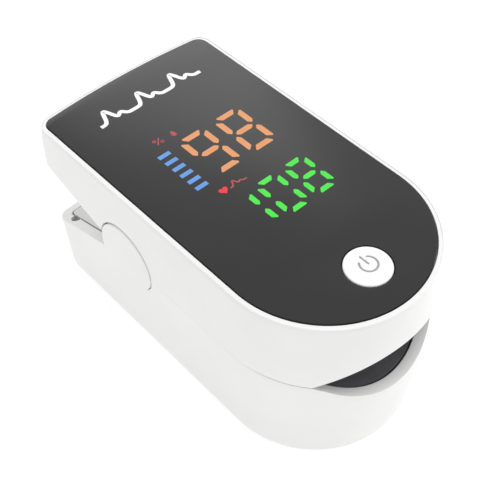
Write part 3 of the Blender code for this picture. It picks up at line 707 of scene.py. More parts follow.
@dataclass(frozen=True)
class Outline:
    """Plan outline of the case: round front, straight sides and a bowed rear edge."""

    arc_y: float = -14.25
    rear_bow: float = 0.70
    corner: float = 2.40
    least_corner: float = 0.80
    hole: float = 6.05
    front_steps: int = 150
    corner_steps: int = 9
    rear_steps: int = 26
    hole_steps: int = 30

    def side_stations(self) -> list[float]:
        """Return the Y places along a straight side, crowded round the cap's hole."""
        places = [26.4, 25.0, 23.5, 22.0, 20.5, 19.0, 17.6, 16.4]
        for k in range(self.hole_steps + 1):
            places.append(HINGE_Y + self.hole * math.cos(math.pi * k / self.hole_steps))
        places += [2.6, 1.2, -0.6, -2.6, -4.8, -7.0, -9.2, -11.2, -12.8]
        return places

    def ring(self, wall: Wall, z: float, inset: float, corner: float | None = None) -> Ring:
        """Return one closed ring of the outline.

        Args:
            wall: Wall sizes at this height.
            z: Height of the ring.
            inset: Distance in from the wall.
            corner: Rear corner radius, or the case's own.

        Returns:
            Points in order round the case.
        """
        half = wall.half - inset
        reach = wall.reach - inset
        rear = wall.rear - inset
        r = max((self.corner if corner is None else corner) - inset, self.least_corner)
        ring: Ring = []
        for k in range(self.corner_steps + 1):
            a = 0.5 * math.pi * k / self.corner_steps
            ring.append((half - r + r * math.cos(a), rear - r + r * math.sin(a), z))
        flat = half - r
        for k in range(1, self.rear_steps):
            x = flat * (1.0 - 2.0 * k / self.rear_steps)
            ring.append((x, rear + self.rear_bow * (1.0 - (x / flat) ** 2), z))
        for k in range(self.corner_steps + 1):
            a = 0.5 * math.pi * (1.0 + k / self.corner_steps)
            ring.append((-half + r + r * math.cos(a), rear - r + r * math.sin(a), z))
        stations = [min(y, rear - r) for y in self.side_stations()]
        ring += [(-half, y, z) for y in stations]
        for k in range(self.front_steps + 1):
            a = math.pi * (1.0 + k / self.front_steps)
            ring.append((half * math.cos(a), self.arc_y + reach * math.sin(a), z))
        ring += [(half, y, z) for y in reversed(stations)]
        return ring


def on_wall(outline: Outline, table: WallTable, levels: Sequence[float], inset: float) -> Ring:
    """Return a ring round a wall whose points stand at heights of their own.

    Args:
        outline: Plan outline of the case.
        table: Wall sizes at each height.
        levels: One height for each point of the outline.
        inset: Distance in from the wall.

    Returns:
        The ring.
    """
    cache: dict[float, Ring] = {}
    made: Ring = []
    for k, z in enumerate(levels):
        key = round(z, 3)
        if key not in cache:
            cache[key] = outline.ring(table.at(key), key, inset)
        made.append(cache[key][k])
    return made


def quarter(radius: float, steps: int) -> list[Flat]:
    """Return (up, in) offsets of a rounded edge, from the wall to the flat."""
    pairs = []
    for k in range(steps + 1):
        a = 0.5 * math.pi * k / steps
        pairs.append((radius * (1.0 - math.sin(a)), radius * (1.0 - math.cos(a))))
    return pairs


# Each row: height, half width, reach of the round front, rear end.
UPPER_TABLE = WallTable((
    (20.15, 16.50, 16.85, 30.40),
    (24.50, 16.46, 16.80, 30.40),
    (28.50, 16.40, 16.60, 30.40),
    (31.00, 16.34, 16.42, 30.22),
    (32.45, 16.31, 16.31, 29.83),
))
LOWER_TABLE = WallTable((
    (2.00, 15.72, 15.80, 29.90),
    (6.00, 15.86, 16.20, 30.05),
    (13.00, 16.08, 16.62, 30.28),
    (19.90, 16.45, 16.82, 30.40),
))
# The face plate's own outline, a little inside the rim.
PLATE_WALL = Wall(15.40, 15.36, 29.08)
PLATE_CORNER = 1.67


# ------------------------------------------------------------------ the two halves of the case

@dataclass
class UpperCase:
    """Display half of the case: wall, lip over the finger, rim and plate seat."""

    seam_z: float = 20.13
    seam_close: float = 0.19
    close_from: float = -20.0
    close_over: float = 4.50
    shoulder_z: float = 32.45
    rim_z: float = 33.00
    wall: float = 1.70
    edge: float = 0.10
    hole: float = 6.07
    lip_radius: float = 17.2
    lip_z: float = 25.27
    wedge_at_hinge: float = 19.21
    wedge_slope: float = 0.322
    seat_z: float = 31.80
    deck_z: float = 30.70
    rim_edge: float = 0.17
    rim_lead: float = 0.04
    seat_gap: float = 0.17
    shelf: float = 3.20
    levels: int = 14

    def low_z(self, x: float, y: float) -> float:
        """Return the height of the wall's lower edge at a place round the case."""
        eased = min(max((y - self.close_from) / self.close_over, 0.0), 1.0)
        low = self.seam_z - self.seam_close * eased
        if y < MOUTH_END and abs(x) < self.lip_radius:
            low = max(low, self.lip_z - self.lip_radius + math.sqrt(self.lip_radius ** 2 - x * x))
        if y > HINGE_Y:
            low = max(low, self.wedge_at_hinge + self.wedge_slope * (y - HINGE_Y))
        off = abs(y - HINGE_Y)
        if abs(x) > CAP_SIDE and off < self.hole:
            low = max(low, HINGE_Z + math.sqrt(self.hole ** 2 - off ** 2))
        return low

    def raised(self, outline: Outline, up: float, inset: float) -> Ring:
        """Return the ring that follows the lower edge, a little above and inside it."""
        guide = outline.ring(UPPER_TABLE.at(22.0), 0.0, inset)
        return on_wall(outline, UPPER_TABLE, [self.low_z(x, y) + up for x, y, _z in guide], inset)

    def between(self, outline: Outline, low: Ring, inset: float, share: float, top: float) -> Ring:
        """Return a ring part of the way from the lower edge to a height."""
        return on_wall(outline, UPPER_TABLE, [z + (top - z) * share for _x, _y, z in low], inset)

    def build(self) -> bpy.types.Object:
        """Build the wall as one closed skin and hang it on the display half.

        Returns:
            The finished shell.
        """
        outline = Outline(hole=self.hole)
        rings: list[Ring] = []
        for up, into in quarter(self.edge, 3):
            rings.append(self.raised(outline, up, self.wall - into))
        for up, into in reversed(quarter(self.edge, 3)):
            rings.append(self.raised(outline, up, into))
        low = rings[-1]
        for k in range(1, self.levels + 1):
            rings.append(self.between(outline, low, 0.0, k / self.levels, self.shoulder_z))
        for up, into in reversed(quarter(self.rim_edge, 4)):
            rings.append(outline.ring(UPPER_TABLE.at(self.shoulder_z), self.rim_z - up, into))
        seat = [(self.rim_z - down * self.rim_lead, self.seat_gap + out * self.rim_lead)
                for down, out in ((0.0, 1.0), (0.25, 0.25), (1.0, 0.0))]
        seat += [(self.seat_z, self.seat_gap), (self.seat_z, -self.shelf), (self.deck_z, -self.shelf)]
        for z, out in seat:
            rings.append(outline.ring(PLATE_WALL, z, -out, PLATE_CORNER))
        inner = rings[0]
        for k in range(self.levels, 0, -1):
            rings.append(self.between(outline, inner, self.wall, k / self.levels, self.deck_z))
        shell = skin("display_half_shell", rings, loop=True)
        return settle(shell, Body.UPPER, WHITE_ABS, "upper_shell")


@dataclass
class LowerCase:
    """Battery half of the case: wall, finger lip, rounded base and lanyard slot."""

    seam_z: float = 19.90
    wall: float = 1.70
    floor: float = 1.70
    floor_edge: float = 0.40
    edge: float = 0.10
    hole: float = 5.93
    lip_radius: float = 17.0
    lip_z: float = 15.35
    lip_half: float = 10.90
    flank: tuple[Flat, ...] = ((10.90, 19.30), (11.35, 19.50), (11.75, 19.72), (12.15, 19.95))
    wedge_at_hinge: float = 19.54
    wedge_slope: float = -0.349
    wedge_reach: float = 1.60
    door_gap: float = 0.16
    rail_half: float = 12.55
    rail_low: float = 0.45
    rail_high: float = 1.25
    slot_at: Flat = (-14.55, 26.20)
    slot_radius: float = 0.95
    slot_side: float = -13.00
    slot_low: float = 8.60
    slot_high: float = 22.0
    levels: int = 14

    def high_z(self, x: float, y: float) -> float:
        """Return the height of the wall's upper edge at a place round the case."""
        high = self.seam_z
        side = abs(x)
        if y < MOUTH_END:
            if side <= self.lip_half:
                high = min(high, self.lip_z + self.lip_radius - math.sqrt(self.lip_radius ** 2 - x * x))
            for (x0, z0), (x1, z1) in zip(self.flank, self.flank[1:]):
                if x0 < side <= x1:
                    high = min(high, z0 + (z1 - z0) * (side - x0) / (x1 - x0))
        if y > HINGE_Y - self.wedge_reach:
            high = min(high, self.wedge_at_hinge + self.wedge_slope * (y - HINGE_Y))
        off = abs(y - HINGE_Y)
        if side > CAP_SIDE and off < self.hole:
            high = min(high, HINGE_Z - math.sqrt(self.hole ** 2 - off ** 2))
        return high

    def edge_levels(self, outline: Outline, inset: float) -> list[float]:
        """Return the upper edge's height at each place round the case."""
        return [self.high_z(x, y) for x, y, _z in outline.ring(LOWER_TABLE.at(18.0), 0.0, inset)]

    def lowered(self, outline: Outline, down: float, inset: float) -> Ring:
        """Return the ring that follows the upper edge, a little below and inside it."""
        levels = [z - down for z in self.edge_levels(outline, inset)]
        return on_wall(outline, LOWER_TABLE, levels, inset)

    def between(self, outline: Outline, tops: Sequence[float], foot: float, share: float,
                inset: float) -> Ring:
        """Return a ring part of the way from a foot height to the upper edge."""
        levels = [foot + (z - foot) * share for z in tops]
        return on_wall(outline, LOWER_TABLE, levels, inset)

    def lanyard_slot(self) -> bpy.types.Object:
        """Return the half-round shaft that the lanyard's loop goes down."""
        x, y = self.slot_at
        radius = self.slot_radius
        outline = [(self.slot_side, y - radius), (self.slot_side, y + radius)]
        for k in range(17):
            a = math.pi * (0.5 + k / 16)
            outline.append((x + radius * math.cos(a), y + radius * math.sin(a)))
        return prism("lanyard_slot", outline, self.slot_low, self.slot_high)

    def build(self) -> bpy.types.Object:
        """Build the cup, open its battery bay and lanyard slot, and hang it.

        Returns:
            The finished shell.
        """
        outline = Outline(hole=self.hole)
        base = LOWER_TABLE.at(BASE_RADIUS)
        rings: list[Ring] = [outline.ring(base, 0.0, BASE_RADIUS + 3.0)]
        for up, into in reversed(quarter(BASE_RADIUS, 7)):
            rings.append(outline.ring(base, up, into))
        outer = [z - self.edge for z in self.edge_levels(outline, 0.0)]
        for k in range(1, self.levels):
            rings.append(self.between(outline, outer, BASE_RADIUS, k / self.levels, 0.0))
        for up, into in quarter(self.edge, 3):
            rings.append(self.lowered(outline, up, into))
        for up, into in reversed(quarter(self.edge, 3)):
            rings.append(self.lowered(outline, up, self.wall - into))
        inner = [z - self.edge for z in self.edge_levels(outline, self.wall)]
        foot = self.floor + self.floor_edge
        for k in range(self.levels - 1, 0, -1):
            rings.append(self.between(outline, inner, foot, k / self.levels, self.wall))
        rings.append(outline.ring(base, foot, self.wall))
        rings.append(outline.ring(base, self.floor, self.wall + self.floor_edge))
        shell = skin("battery_half_shell", rings)
        wide = DOOR_HALF + self.door_gap
        carve(shell, [
            block("bay_opening", (-wide, DOOR_FRONT - self.door_gap, -1.0),
                  (wide, PAST_REAR, self.floor + 0.05)),
            block("door_rails", (-self.rail_half, DOOR_FRONT, self.rail_low),
                  (self.rail_half, PAST_REAR, self.rail_high)),
            self.lanyard_slot(),
            block("lanyard_exit", (-14.3, 26.4, 9.3), (-12.6, 34.0, 11.1), 0.5, 3),
        ])
        return settle(shell, Body.LOWER, WHITE_ABS, "lower_shell")

    def bay(self) -> bpy.types.Object:
        """Build the two walls that hold the cells' contacts."""
        front = block("bay_walls", (-11.3, -24.3, 1.8), (11.3, -22.5, 12.2), 0.25)
        rear = block("bay_rear_wall", (-14.5, 25.35, 2.1), (14.5, 26.5, 11.8), 0.25)
        carve(front, [rear], "UNION")
        return settle(front, Body.LOWER, WHITE_ABS)


# ------------------------------------------------------------------ hinge

@dataclass
class Hinge:
    """Side caps, pins and the two torsion springs that close the clamp."""

    y: float = HINGE_Y
    z: float = HINGE_Z
    cap_radius: float = 5.80
    cap_in: float = 14.65
    cap_out: float = 16.68
    cap_edge: float = 0.12
    cap_crown: float = 0.10
    cap_chamfer: float = 0.30
    pin_radius: float = 1.00
    pin_in: float = 7.90
    pin_length: float = 6.55
    coil_radius: float = 1.75
    wire: float = 0.33
    leg: float = 9.5
    low_rim: float = 16.84
    high_rim: float = 21.65
    x_low: float = 8.35
    x_high: float = 10.60
    turns: float = 3.0

    def cap(self, side: int, word: str) -> bpy.types.Object:
        """Turn one round cap with a soft edge and a barely crowned face."""
        deep = self.cap_out - self.cap_in
        r = self.cap_radius
        edge, crown = self.cap_edge, self.cap_crown
        flat = deep - crown - edge
        profile: list[Flat] = [(0.0, 0.0), (0.0, r - self.cap_chamfer), (self.cap_chamfer, r), (flat, r)]
        for k in range(1, 6):
            a = 0.5 * math.pi * k / 5
            profile.append((flat + edge * math.sin(a), r - edge + edge * math.cos(a)))
        for k in range(1, 8):
            share = k / 8
            profile.append((flat + edge + crown * (1.0 - (1.0 - share) ** 2), (r - edge) * (1.0 - share)))
        profile.append((deep, 0.0))
        cap = turned("hinge_disc_" + word, profile, (side * self.cap_in, self.y, self.z),
                     (side, 0.0, 0.0), 128)
        return settle(cap, Body.LOWER, WHITE_ABS, "hinge_cap_" + word)

    def pin(self, side: int, word: str) -> bpy.types.Object:
        """Turn one pin with a chamfered inner end."""
        r = self.pin_radius
        end = self.pin_length
        profile = [(0.0, 0.0), (0.0, r - 0.2), (0.2, r), (end - 0.05, r), (end, r - 0.1), (end, 0.0)]
        pin = turned("hinge_axle_" + word, profile, (side * self.pin_in, self.y, self.z),
                     (side, 0.0, 0.0), 48)
        return settle(pin, Body.LOWER, STEEL, "hinge_pin_" + word)

    def straight(self, a: Point, b: Point) -> list[Point]:
        """Return evenly spaced points from a up to, but not including, b."""
        return [tuple(a[i] + (b[i] - a[i]) * k / 6 for i in range(3)) for k in range(6)]

    def spring(self, side: int, word: str) -> bpy.types.Object:
        """Wind one torsion spring; its legs rest on the rims of the two halves."""
        drop = self.low_rim - self.z
        rise = self.high_rim - self.z
        # Both legs leave the coil along its tangents.
        start = math.atan2(drop, self.leg) + math.acos(self.coil_radius / math.hypot(drop, self.leg))
        stop = math.atan2(rise, self.leg) - math.acos(self.coil_radius / math.hypot(rise, self.leg))
        sweep = stop - start + 2.0 * math.pi * self.turns
        coil: list[Point] = []
        steps = 96
        for k in range(steps + 1):
            t = k / steps
            a = start + sweep * t
            x = self.x_low + (self.x_high - self.x_low) * t
            coil.append((side * x, self.y + self.coil_radius * math.cos(a),
                         self.z + self.coil_radius * math.sin(a)))
        foot = (side * self.x_low, self.y + self.leg, self.low_rim)
        tip = (side * self.x_high, self.y + self.leg, self.high_rim)
        path = [*self.straight(foot, coil[0]), *coil, *reversed(self.straight(tip, coil[-1]))]
        spring = tube("torsion_spring_" + word, path, self.wire, 14)
        smooth(spring, 50.0)
        spring.data.materials.append(STEEL.material())
        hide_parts("clamp_spring_" + word)
        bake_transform(spring)
        LOG.info("%s: bends from %s to %s", spring.name, Body.LOWER.value, Body.UPPER.value)
        return spring

    def build(self) -> None:
        """Build both sides of the hinge."""
        for side, word in ((-1, "left"), (1, "right")):
            self.cap(side, word)
            self.pin(side, word)
            self.spring(side, word)


# ------------------------------------------------------------------ finger channel

@dataclass
class Channel:
    """Silicone pads and the inner frames round the finger."""

    pad: float = 1.00
    end: float = 4.00
    inside: float = 1.95
    low_edge: float = 19.70
    high_edge: float = 20.35
    rim: float = 0.22
    first_y: float = -34.0
    steps_from: float = -31.0
    step: float = 1.25
    sensor_y: float = -12.50
    way: Flat = (3.10, 2.60)
    window: Flat = (2.85, 2.35)
    # Each station: place along Y, lower half width and depth, upper half width and crest.
    stations: tuple[tuple[float, float, float, float, float], ...] = (
        (-34.0, 12.40, 15.30, 13.07, 25.20),
        (-28.5, 12.40, 15.30, 13.07, 25.20),
        (-21.5, 12.40, 15.65, 13.07, 24.60),
        (-17.0, 11.00, 16.00, 11.30, 24.20),
        (-12.5, 9.80, 16.20, 9.80, 24.00),
        (6.00, 9.80, 16.20, 9.80, 24.00),
    )

    def sample(self, y: float) -> tuple[float, float, float, float]:
        """Return the channel's sizes at a place, eased between the stations."""
        rows = self.stations
        k = next((i for i in range(len(rows) - 1) if y <= rows[i + 1][0]), len(rows) - 2)
        t = min(max((y - rows[k][0]) / (rows[k + 1][0] - rows[k][0]), 0.0), 1.0)
        return tuple(rows[k][c] + (rows[k + 1][c] - rows[k][c]) * t for c in (1, 2, 3, 4))

    def trough(self, name: str, lower: bool, grow: float, lid: float, end: float) -> bpy.types.Object:
        """Build the solid that fills one side of the channel, grown outwards.

        Args:
            name: Name of the solid.
            lower: Lower side, or else upper.
            grow: How far it is grown.
            lid: Height of its flat side.
            end: Where it stops, along Y.

        Returns:
            The new object.
        """
        rings: list[Ring] = []
        places = [self.first_y] + [self.steps_from + self.step * k for k in range(28)]
        for y in [p for p in places if p < end] + [end]:
            half_low, deep, half_up, crest = self.sample(y)
            if lower:
                line = arc(half_low + grow, self.low_edge, deep - grow, 49)
            else:
                line = arc(half_up + grow, self.high_edge, crest + grow, 49)
            ring = [(x, y, z) for x, z in line]
            half = line[-1][0]
            ring += [(half, y, lid), (-half, y, lid)]
            rings.append(ring)
        return skin(name, rings)

    def case_space(self, table: WallTable, low: float, high: float) -> bpy.types.Object:
        """Build the space inside the case wall, to trim what stands in it."""
        outline = Outline(front_steps=96, hole_steps=4)
        rings = []
        for k in range(6):
            z = low + (high - low) * k / 5
            rings.append(outline.ring(table.at(z), z, self.inside))
        return skin("case_space", rings)

    def window_way(self, low: float, high: float) -> bpy.types.Object:
        """Return the square hole that a window looks through."""
        half, reach = self.way
        return block("window_way", (-half, self.sensor_y - reach, low),
                     (half, self.sensor_y + reach, high))

    def lower_pad(self) -> bpy.types.Object:
        """Build the lower pad with its window and rounded rims."""
        pad = self.trough("finger_pad_lower", True, self.pad, self.low_edge + 0.001, self.end)
        carve(pad, [self.trough("space", True, 0.0, 24.0, self.end + 1.0)])
        carve(pad, [self.case_space(LOWER_TABLE, 5.0, 21.0)], "INTERSECT")
        carve(pad, [self.window_way(10.0, 20.0)])
        round_edges(pad, self.rim, 50.0, 3)
        return settle(pad, Body.LOWER, SILICONE, "lower_pad", angle=50.0)

    def upper_pad(self) -> bpy.types.Object:
        """Build the upper pad with its window and rounded rims."""
        pad = self.trough("finger_pad_upper", False, self.pad, self.high_edge - 0.001, self.end)
        carve(pad, [self.trough("space", False, 0.0, 15.0, self.end + 1.0)])
        carve(pad, [self.case_space(UPPER_TABLE, 19.0, 30.0)], "INTERSECT")
        carve(pad, [self.window_way(20.0, 30.0)])
        round_edges(pad, self.rim, 50.0, 3)
        return settle(pad, Body.UPPER, SILICONE, "upper_pad", angle=50.0)

    def frames(self) -> None:
        """Carry the two inner frames over as clean meshes, the lower one made even."""
        lower = refined("finger_tray_frame", "lower_inner_frame", 0.0)
        self.even(lower)
        settle(lower, Body.LOWER, INNER_ABS, "lower_inner_frame")
        upper = refined("finger_arch_frame", "upper_inner_frame", 0.0)
        settle(upper, Body.UPPER, INNER_ABS, "upper_inner_frame")

    def even(self, obj: bpy.types.Object) -> None:
        """Make the left half of a piece the mirror image of its right half."""
        bm = bmesh.new()
        bm.from_mesh(obj.data)
        everything = list(bm.verts) + list(bm.edges) + list(bm.faces)
        bmesh.ops.bisect_plane(bm, geom=everything, dist=WELD, plane_co=(0.0, 0.0, 0.0),
                               plane_no=(1.0, 0.0, 0.0), clear_inner=True)
        bm.to_mesh(obj.data)
        bm.free()
        mod = obj.modifiers.new("even", "MIRROR")
        mod.merge_threshold = WELD * 5.0
        bake(obj)

    def windows(self) -> None:
        """Build the two clear windows over the lamp and its sensor."""
        half, reach = self.window
        for name, z0, z1, body, node in (
                ("sensor_window", 15.15, 16.20, Body.LOWER, "detector_window"),
                ("lamp_window", 24.10, 25.20, Body.UPPER, "emitter_window")):
            pane = block(name, (-half, self.sensor_y - reach, z0),
                         (half, self.sensor_y + reach, z1), 0.25, 4)
            settle(pane, body, WINDOW, node)

    def build(self) -> None:
        """Build everything round the finger."""
        self.lower_pad()
        self.upper_pad()
        self.frames()
        self.windows()


# ------------------------------------------------------------------ face plate and read-out

@dataclass(frozen=True)
class Figure:
    """One number of the read-out: sizes in face units, play in bar widths.

    Each digit is its lit bars by letter, its left edge and its width.
    """

    name: str
    finish: Finish
    base: float
    tall: float
    thick: float
    play: float
    digits: tuple[tuple[str, float, float], ...]

    def bar_shapes(self, wide: float) -> tuple[list[Flat], list[Flat], list[Flat]]:
        """Return the bottom, lower left and middle bars of a digit, with blunt ends."""
        thick, middle_y = self.thick, self.tall * 0.5
        gap, tip = thick * self.play, thick * (self.play - 0.35)
        cut, blunt, half = thick * 0.60, thick * 0.24, thick * 0.5
        flat = [(gap + blunt * 0.5, 0.0), (wide - gap - blunt * 0.5, 0.0), (wide - gap, blunt),
                (wide - gap - cut, thick), (gap + cut, thick), (gap, blunt)]
        upright = [(0.0, gap + blunt * 0.5), (blunt, gap), (thick, gap + cut),
                   (thick, middle_y - tip - half), (half + blunt * 0.5, middle_y - tip),
                   (half - blunt * 0.5, middle_y - tip), (0.0, middle_y - tip - half)]
        inner = thick * (self.play + 0.10)
        middle = [(inner, middle_y + blunt * 0.5), (inner, middle_y - blunt * 0.5),
                  (inner + half, middle_y - half), (wide - inner - half, middle_y - half),
                  (wide - inner, middle_y - blunt * 0.5), (wide - inner, middle_y + blunt * 0.5),
                  (wide - inner - half, middle_y + half), (inner + half, middle_y + half)]
        return flat, upright, middle

    def segment(self, which: Segment, wide: float) -> list[Flat]:
        """Return one bar of a digit, from the digit's lower left corner."""
        flat, upright, middle = self.bar_shapes(wide)
        shapes: dict[Segment, list[Flat]] = {
            Segment.TOP: [(x, self.tall - y) for x, y in flat],
            Segment.BOTTOM: flat,
            Segment.MIDDLE: middle,
            Segment.LOWER_LEFT: upright,
            Segment.LOWER_RIGHT: [(wide - x, y) for x, y in upright],
            Segment.UPPER_LEFT: [(x, self.tall - y) for x, y in upright],
            Segment.UPPER_RIGHT: [(wide - x, self.tall - y) for x, y in upright],
        }
        return shapes[which]

    def outlines(self) -> list[list[Flat]]:
        """Return the lit bars of all the digits, in face units."""
        made = []
        for letters, left, wide in self.digits:
            for which in (s for s in Segment if s.value in letters):
                made.append([(left + x, self.base + y) for x, y in self.segment(which, wide)])
        return made


@dataclass(frozen=True)
class Wave:
    """A drawn pulse wave in face units: ends, base line, height and count of its beats, line width."""

    left: float
    right: float
    base: float
    tall: float
    count: int
    line: float

    def points(self) -> list[Flat]:
        """Return points along the wave: each beat rises steeply, falls and has a second hump."""
        made = []
        steps = 40 * self.count
        for k in range(steps + 1):
            share = k / steps * self.count
            t = share - math.floor(share)
            main = math.exp(-((t - 0.36) / 0.120) ** 2)
            hump = 0.34 * math.exp(-((t - 0.66) / 0.095) ** 2)
            x = self.left + (self.right - self.left) * k / steps
            made.append((x, self.base + self.tall * (main + hump)))
        return made


OXYGEN = Figure("oxygen_digits", ORANGE_LIGHT, 0.030, 0.590, 0.063, 0.86,
                (("abcdfg", -0.220, 0.320), ("abcdefg", 0.213, 0.320)))
PULSE = Figure("pulse_digits", GREEN_LIGHT, -0.765, 0.480, 0.055, 1.04,
               (("bc", -0.434, 0.275), ("abcdef", -0.083, 0.275), ("abcdefg", 0.263, 0.273)))
BEAT = Wave(-0.245, -0.045, -0.165, 0.060, 1, 0.016)
TRACE = Wave(-0.620, 0.625, 1.270, 0.170, 3, 0.042)


@dataclass
class Face:
    """Dark face plate with its lit read-out and printed marks.

    The bar, heart, drop and percent sizes are in face units, and the others in millimetres.
    """

    unit: float = 15.50
    shift_y: float = 2.519
    low: float = 32.00
    top: float = 33.17
    edge: float = 0.07
    print_thick: float = 0.02
    print_sink: float = 0.01
    button_hole: float = 3.55
    bar_count: int = 6
    bar_at: Flat = (-0.4175, 0.0335)
    bar_size: Flat = (0.135, 0.047)
    bar_pitch: float = 0.1064
    heart_at: Flat = (-0.308, -0.145)
    heart_size: Flat = (0.094, 0.085)
    drop_at: Flat = (-0.165, 0.745)
    percent_dots: tuple[Flat, ...] = ((-0.372, 0.775), (-0.308, 0.727))
    percent_slash: tuple[Flat, ...] = ((-0.372, 0.712), (-0.308, 0.790))
    slash_line: float = 0.014
    dot_outer: float = 0.29
    dot_inner: float = 0.13

    def spot(self, x: float, y: float) -> Flat:
        """Turn face units, counted in half widths of the plate, into millimetres."""
        return x * self.unit, y * self.unit + self.shift_y

    def plate(self) -> bpy.types.Object:
        """Build the plate with a polished edge and the button's hole."""
        outline = Outline(front_steps=150, hole_steps=6)
        rings = [outline.ring(PLATE_WALL, self.low, 0.0, PLATE_CORNER)]
        for up, into in quarter(self.edge, 3):
            rings.append(outline.ring(PLATE_WALL, self.top - up, into, PLATE_CORNER))
        plate = skin("face_panel", rings)
        hole = turned("button_hole", [(0.0, self.button_hole), (6.0, self.button_hole)],
                      (0.0, BUTTON_Y, 30.0), (0.0, 0.0, 1.0), 128)
        carve(plate, [hole])
        return settle(plate, Body.UPPER, ACRYLIC, "face_plate")

    def printed(self, name: str, shapes: Sequence[Sequence[Flat]], finish: Finish,
                strips: Sequence[tuple[list[Flat], list[Flat]]] = ()) -> bpy.types.Object:
        """Print flat shapes on the plate as one thin piece.

        Args:
            name: Name of the piece.
            shapes: Outlines in millimetres.
            finish: Ink or light.
            strips: Left and right edges of lines, in millimetres.

        Returns:
            The finished piece.
        """
        low, high = self.top - self.print_sink, self.top + self.print_thick
        bm = bmesh.new()
        for left, right in strips:
            add_skin(bm, [[(xl, yl, low), (xr, yr, low), (xr, yr, high), (xl, yl, high)]
                          for (xl, yl), (xr, yr) in zip(left, right)])
        for shape in shapes:
            add_skin(bm, [[(x, y, z) for x, y in shape] for z in (low, high)])
        obj = from_bmesh(name, bm, weld=False)
        return settle(obj, Body.UPPER, finish)

    def read_out(self) -> None:
        """Light the oxygen figure and the pulse figure."""
        for figure in (OXYGEN, PULSE):
            shapes = [[self.spot(x, y) for x, y in shape] for shape in figure.outlines()]
            self.printed(figure.name, shapes, figure.finish)

    def bars(self) -> bpy.types.Object:
        """Repeat the blue strength bars up the side of the read-out with Geometry Nodes."""
        tree, given = open_group("strength_bars", {
            "Count": "Int", "Pitch": "Float", "Size": "Vector", "Start": "Vector", "Light": "Material"})
        bar = add_node(tree, "GeometryNodeMeshCube", inputs={"Size": given["Size"]})
        close_group(tree, row_of(tree, given, bar.outputs["Mesh"]), given["Light"])
        x, y = self.spot(*self.bar_at)
        wide, tall = self.bar_size
        thick = self.print_thick + self.print_sink
        middle = self.top + (self.print_thick - self.print_sink) * 0.5
        obj = grown("strength_bars", tree, {
            "Count": self.bar_count, "Pitch": self.bar_pitch * self.unit * MM,
            "Size": (wide * self.unit * MM, tall * self.unit * MM, thick * MM),
            "Start": (x * MM, y * MM, middle * MM), "Light": BLUE_LIGHT.material()})
        return settle(obj, Body.UPPER, BLUE_LIGHT)

    def marks(self) -> None:
        """Draw the small red heart, drop and percent marks and the white pulse trace."""
        self.printed("pulse_marks", [self.heart()], RED_LIGHT)
        self.printed("pulse_beat", [], DIM_RED_LIGHT, [self.stroke(BEAT.points(), BEAT.line)])
        shapes = [self.drop()]
        for place in self.percent_dots:
            shapes += self.annulus(*self.spot(*place), self.dot_outer, self.dot_inner)
        slash = self.stroke(self.percent_slash, self.slash_line)
        self.printed("oxygen_marks", shapes, DIM_RED_LIGHT, [slash])
        self.printed("pulse_trace", [], WHITE_PRINT, [self.stroke(TRACE.points(), TRACE.line)])

    def heart(self) -> list[Flat]:
        """Return a heart, drawn by its usual formula of 32 by 29 units."""
        cx, cy = self.spot(*self.heart_at)
        wide, tall = self.heart_size
        shape = []
        for k in range(48):
            a = 2.0 * math.pi * k / 48
            x = 16.0 * math.sin(a) ** 3
            y = 13.0 * math.cos(a) - 5.0 * math.cos(2 * a) - 2.0 * math.cos(3 * a) - math.cos(4 * a)
            shape.append((cx + x / 32.0 * wide * self.unit, cy + y / 29.0 * tall * self.unit))
        return shape[::-1]

    def drop(self) -> list[Flat]:
        """Return a drop with its point at the top."""
        cx, cy = self.spot(*self.drop_at)
        shape = []
        for k in range(40):
            a = 2.0 * math.pi * k / 40
            lean = (1.0 + math.cos(a)) * 0.5
            shape.append((cx + 0.50 * math.sin(a) * math.sqrt(1.0 - lean), cy + 0.66 * math.cos(a)))
        return shape[::-1]

    def annulus(self, cx: float, cy: float, outer: float, inner: float) -> list[list[Flat]]:
        """Return a small ring as two half rings (millimetres)."""
        halves = []
        for start in (0.0, math.pi):
            steps = [start + math.pi * k / 14 for k in range(15)]
            shape = [(cx + outer * math.cos(a), cy + outer * math.sin(a)) for a in steps]
            shape += [(cx + inner * math.cos(a), cy + inner * math.sin(a)) for a in reversed(steps)]
            halves.append(shape)
        return halves

    def stroke(self, path: Sequence[Flat], wide: float) -> tuple[list[Flat], list[Flat]]:
        """Return the two edges of a line of even width, with mitred bends.

        Args:
            path: Points in face units.
            wide: Line width in face units.

        Returns:
            Left and right edges, in millimetres.
        """
        points = [Vector(self.spot(x, y)) for x, y in path]
        half = wide * self.unit * 0.5
        left: list[Flat] = []
        right: list[Flat] = []
        for i, point in enumerate(points):
            into = (point - points[i - 1]).normalized() if i > 0 else None
            out = (points[i + 1] - point).normalized() if i < len(points) - 1 else None
            into = into or out
            out = out or into
            bend = (into + out).normalized()
            normal = Vector((-bend.y, bend.x))
            side = Vector((-into.y, into.x))
            reach = half / max(normal.dot(side), 0.35)
            left.append(tuple(point + normal * reach))
            right.append(tuple(point - normal * reach))
        return left, right

    def build(self) -> None:
        """Build the plate and all that shows on it."""
        self.plate()
        self.read_out()
        self.bars()
        self.marks()


# ------------------------------------------------------------------ button, door and cells

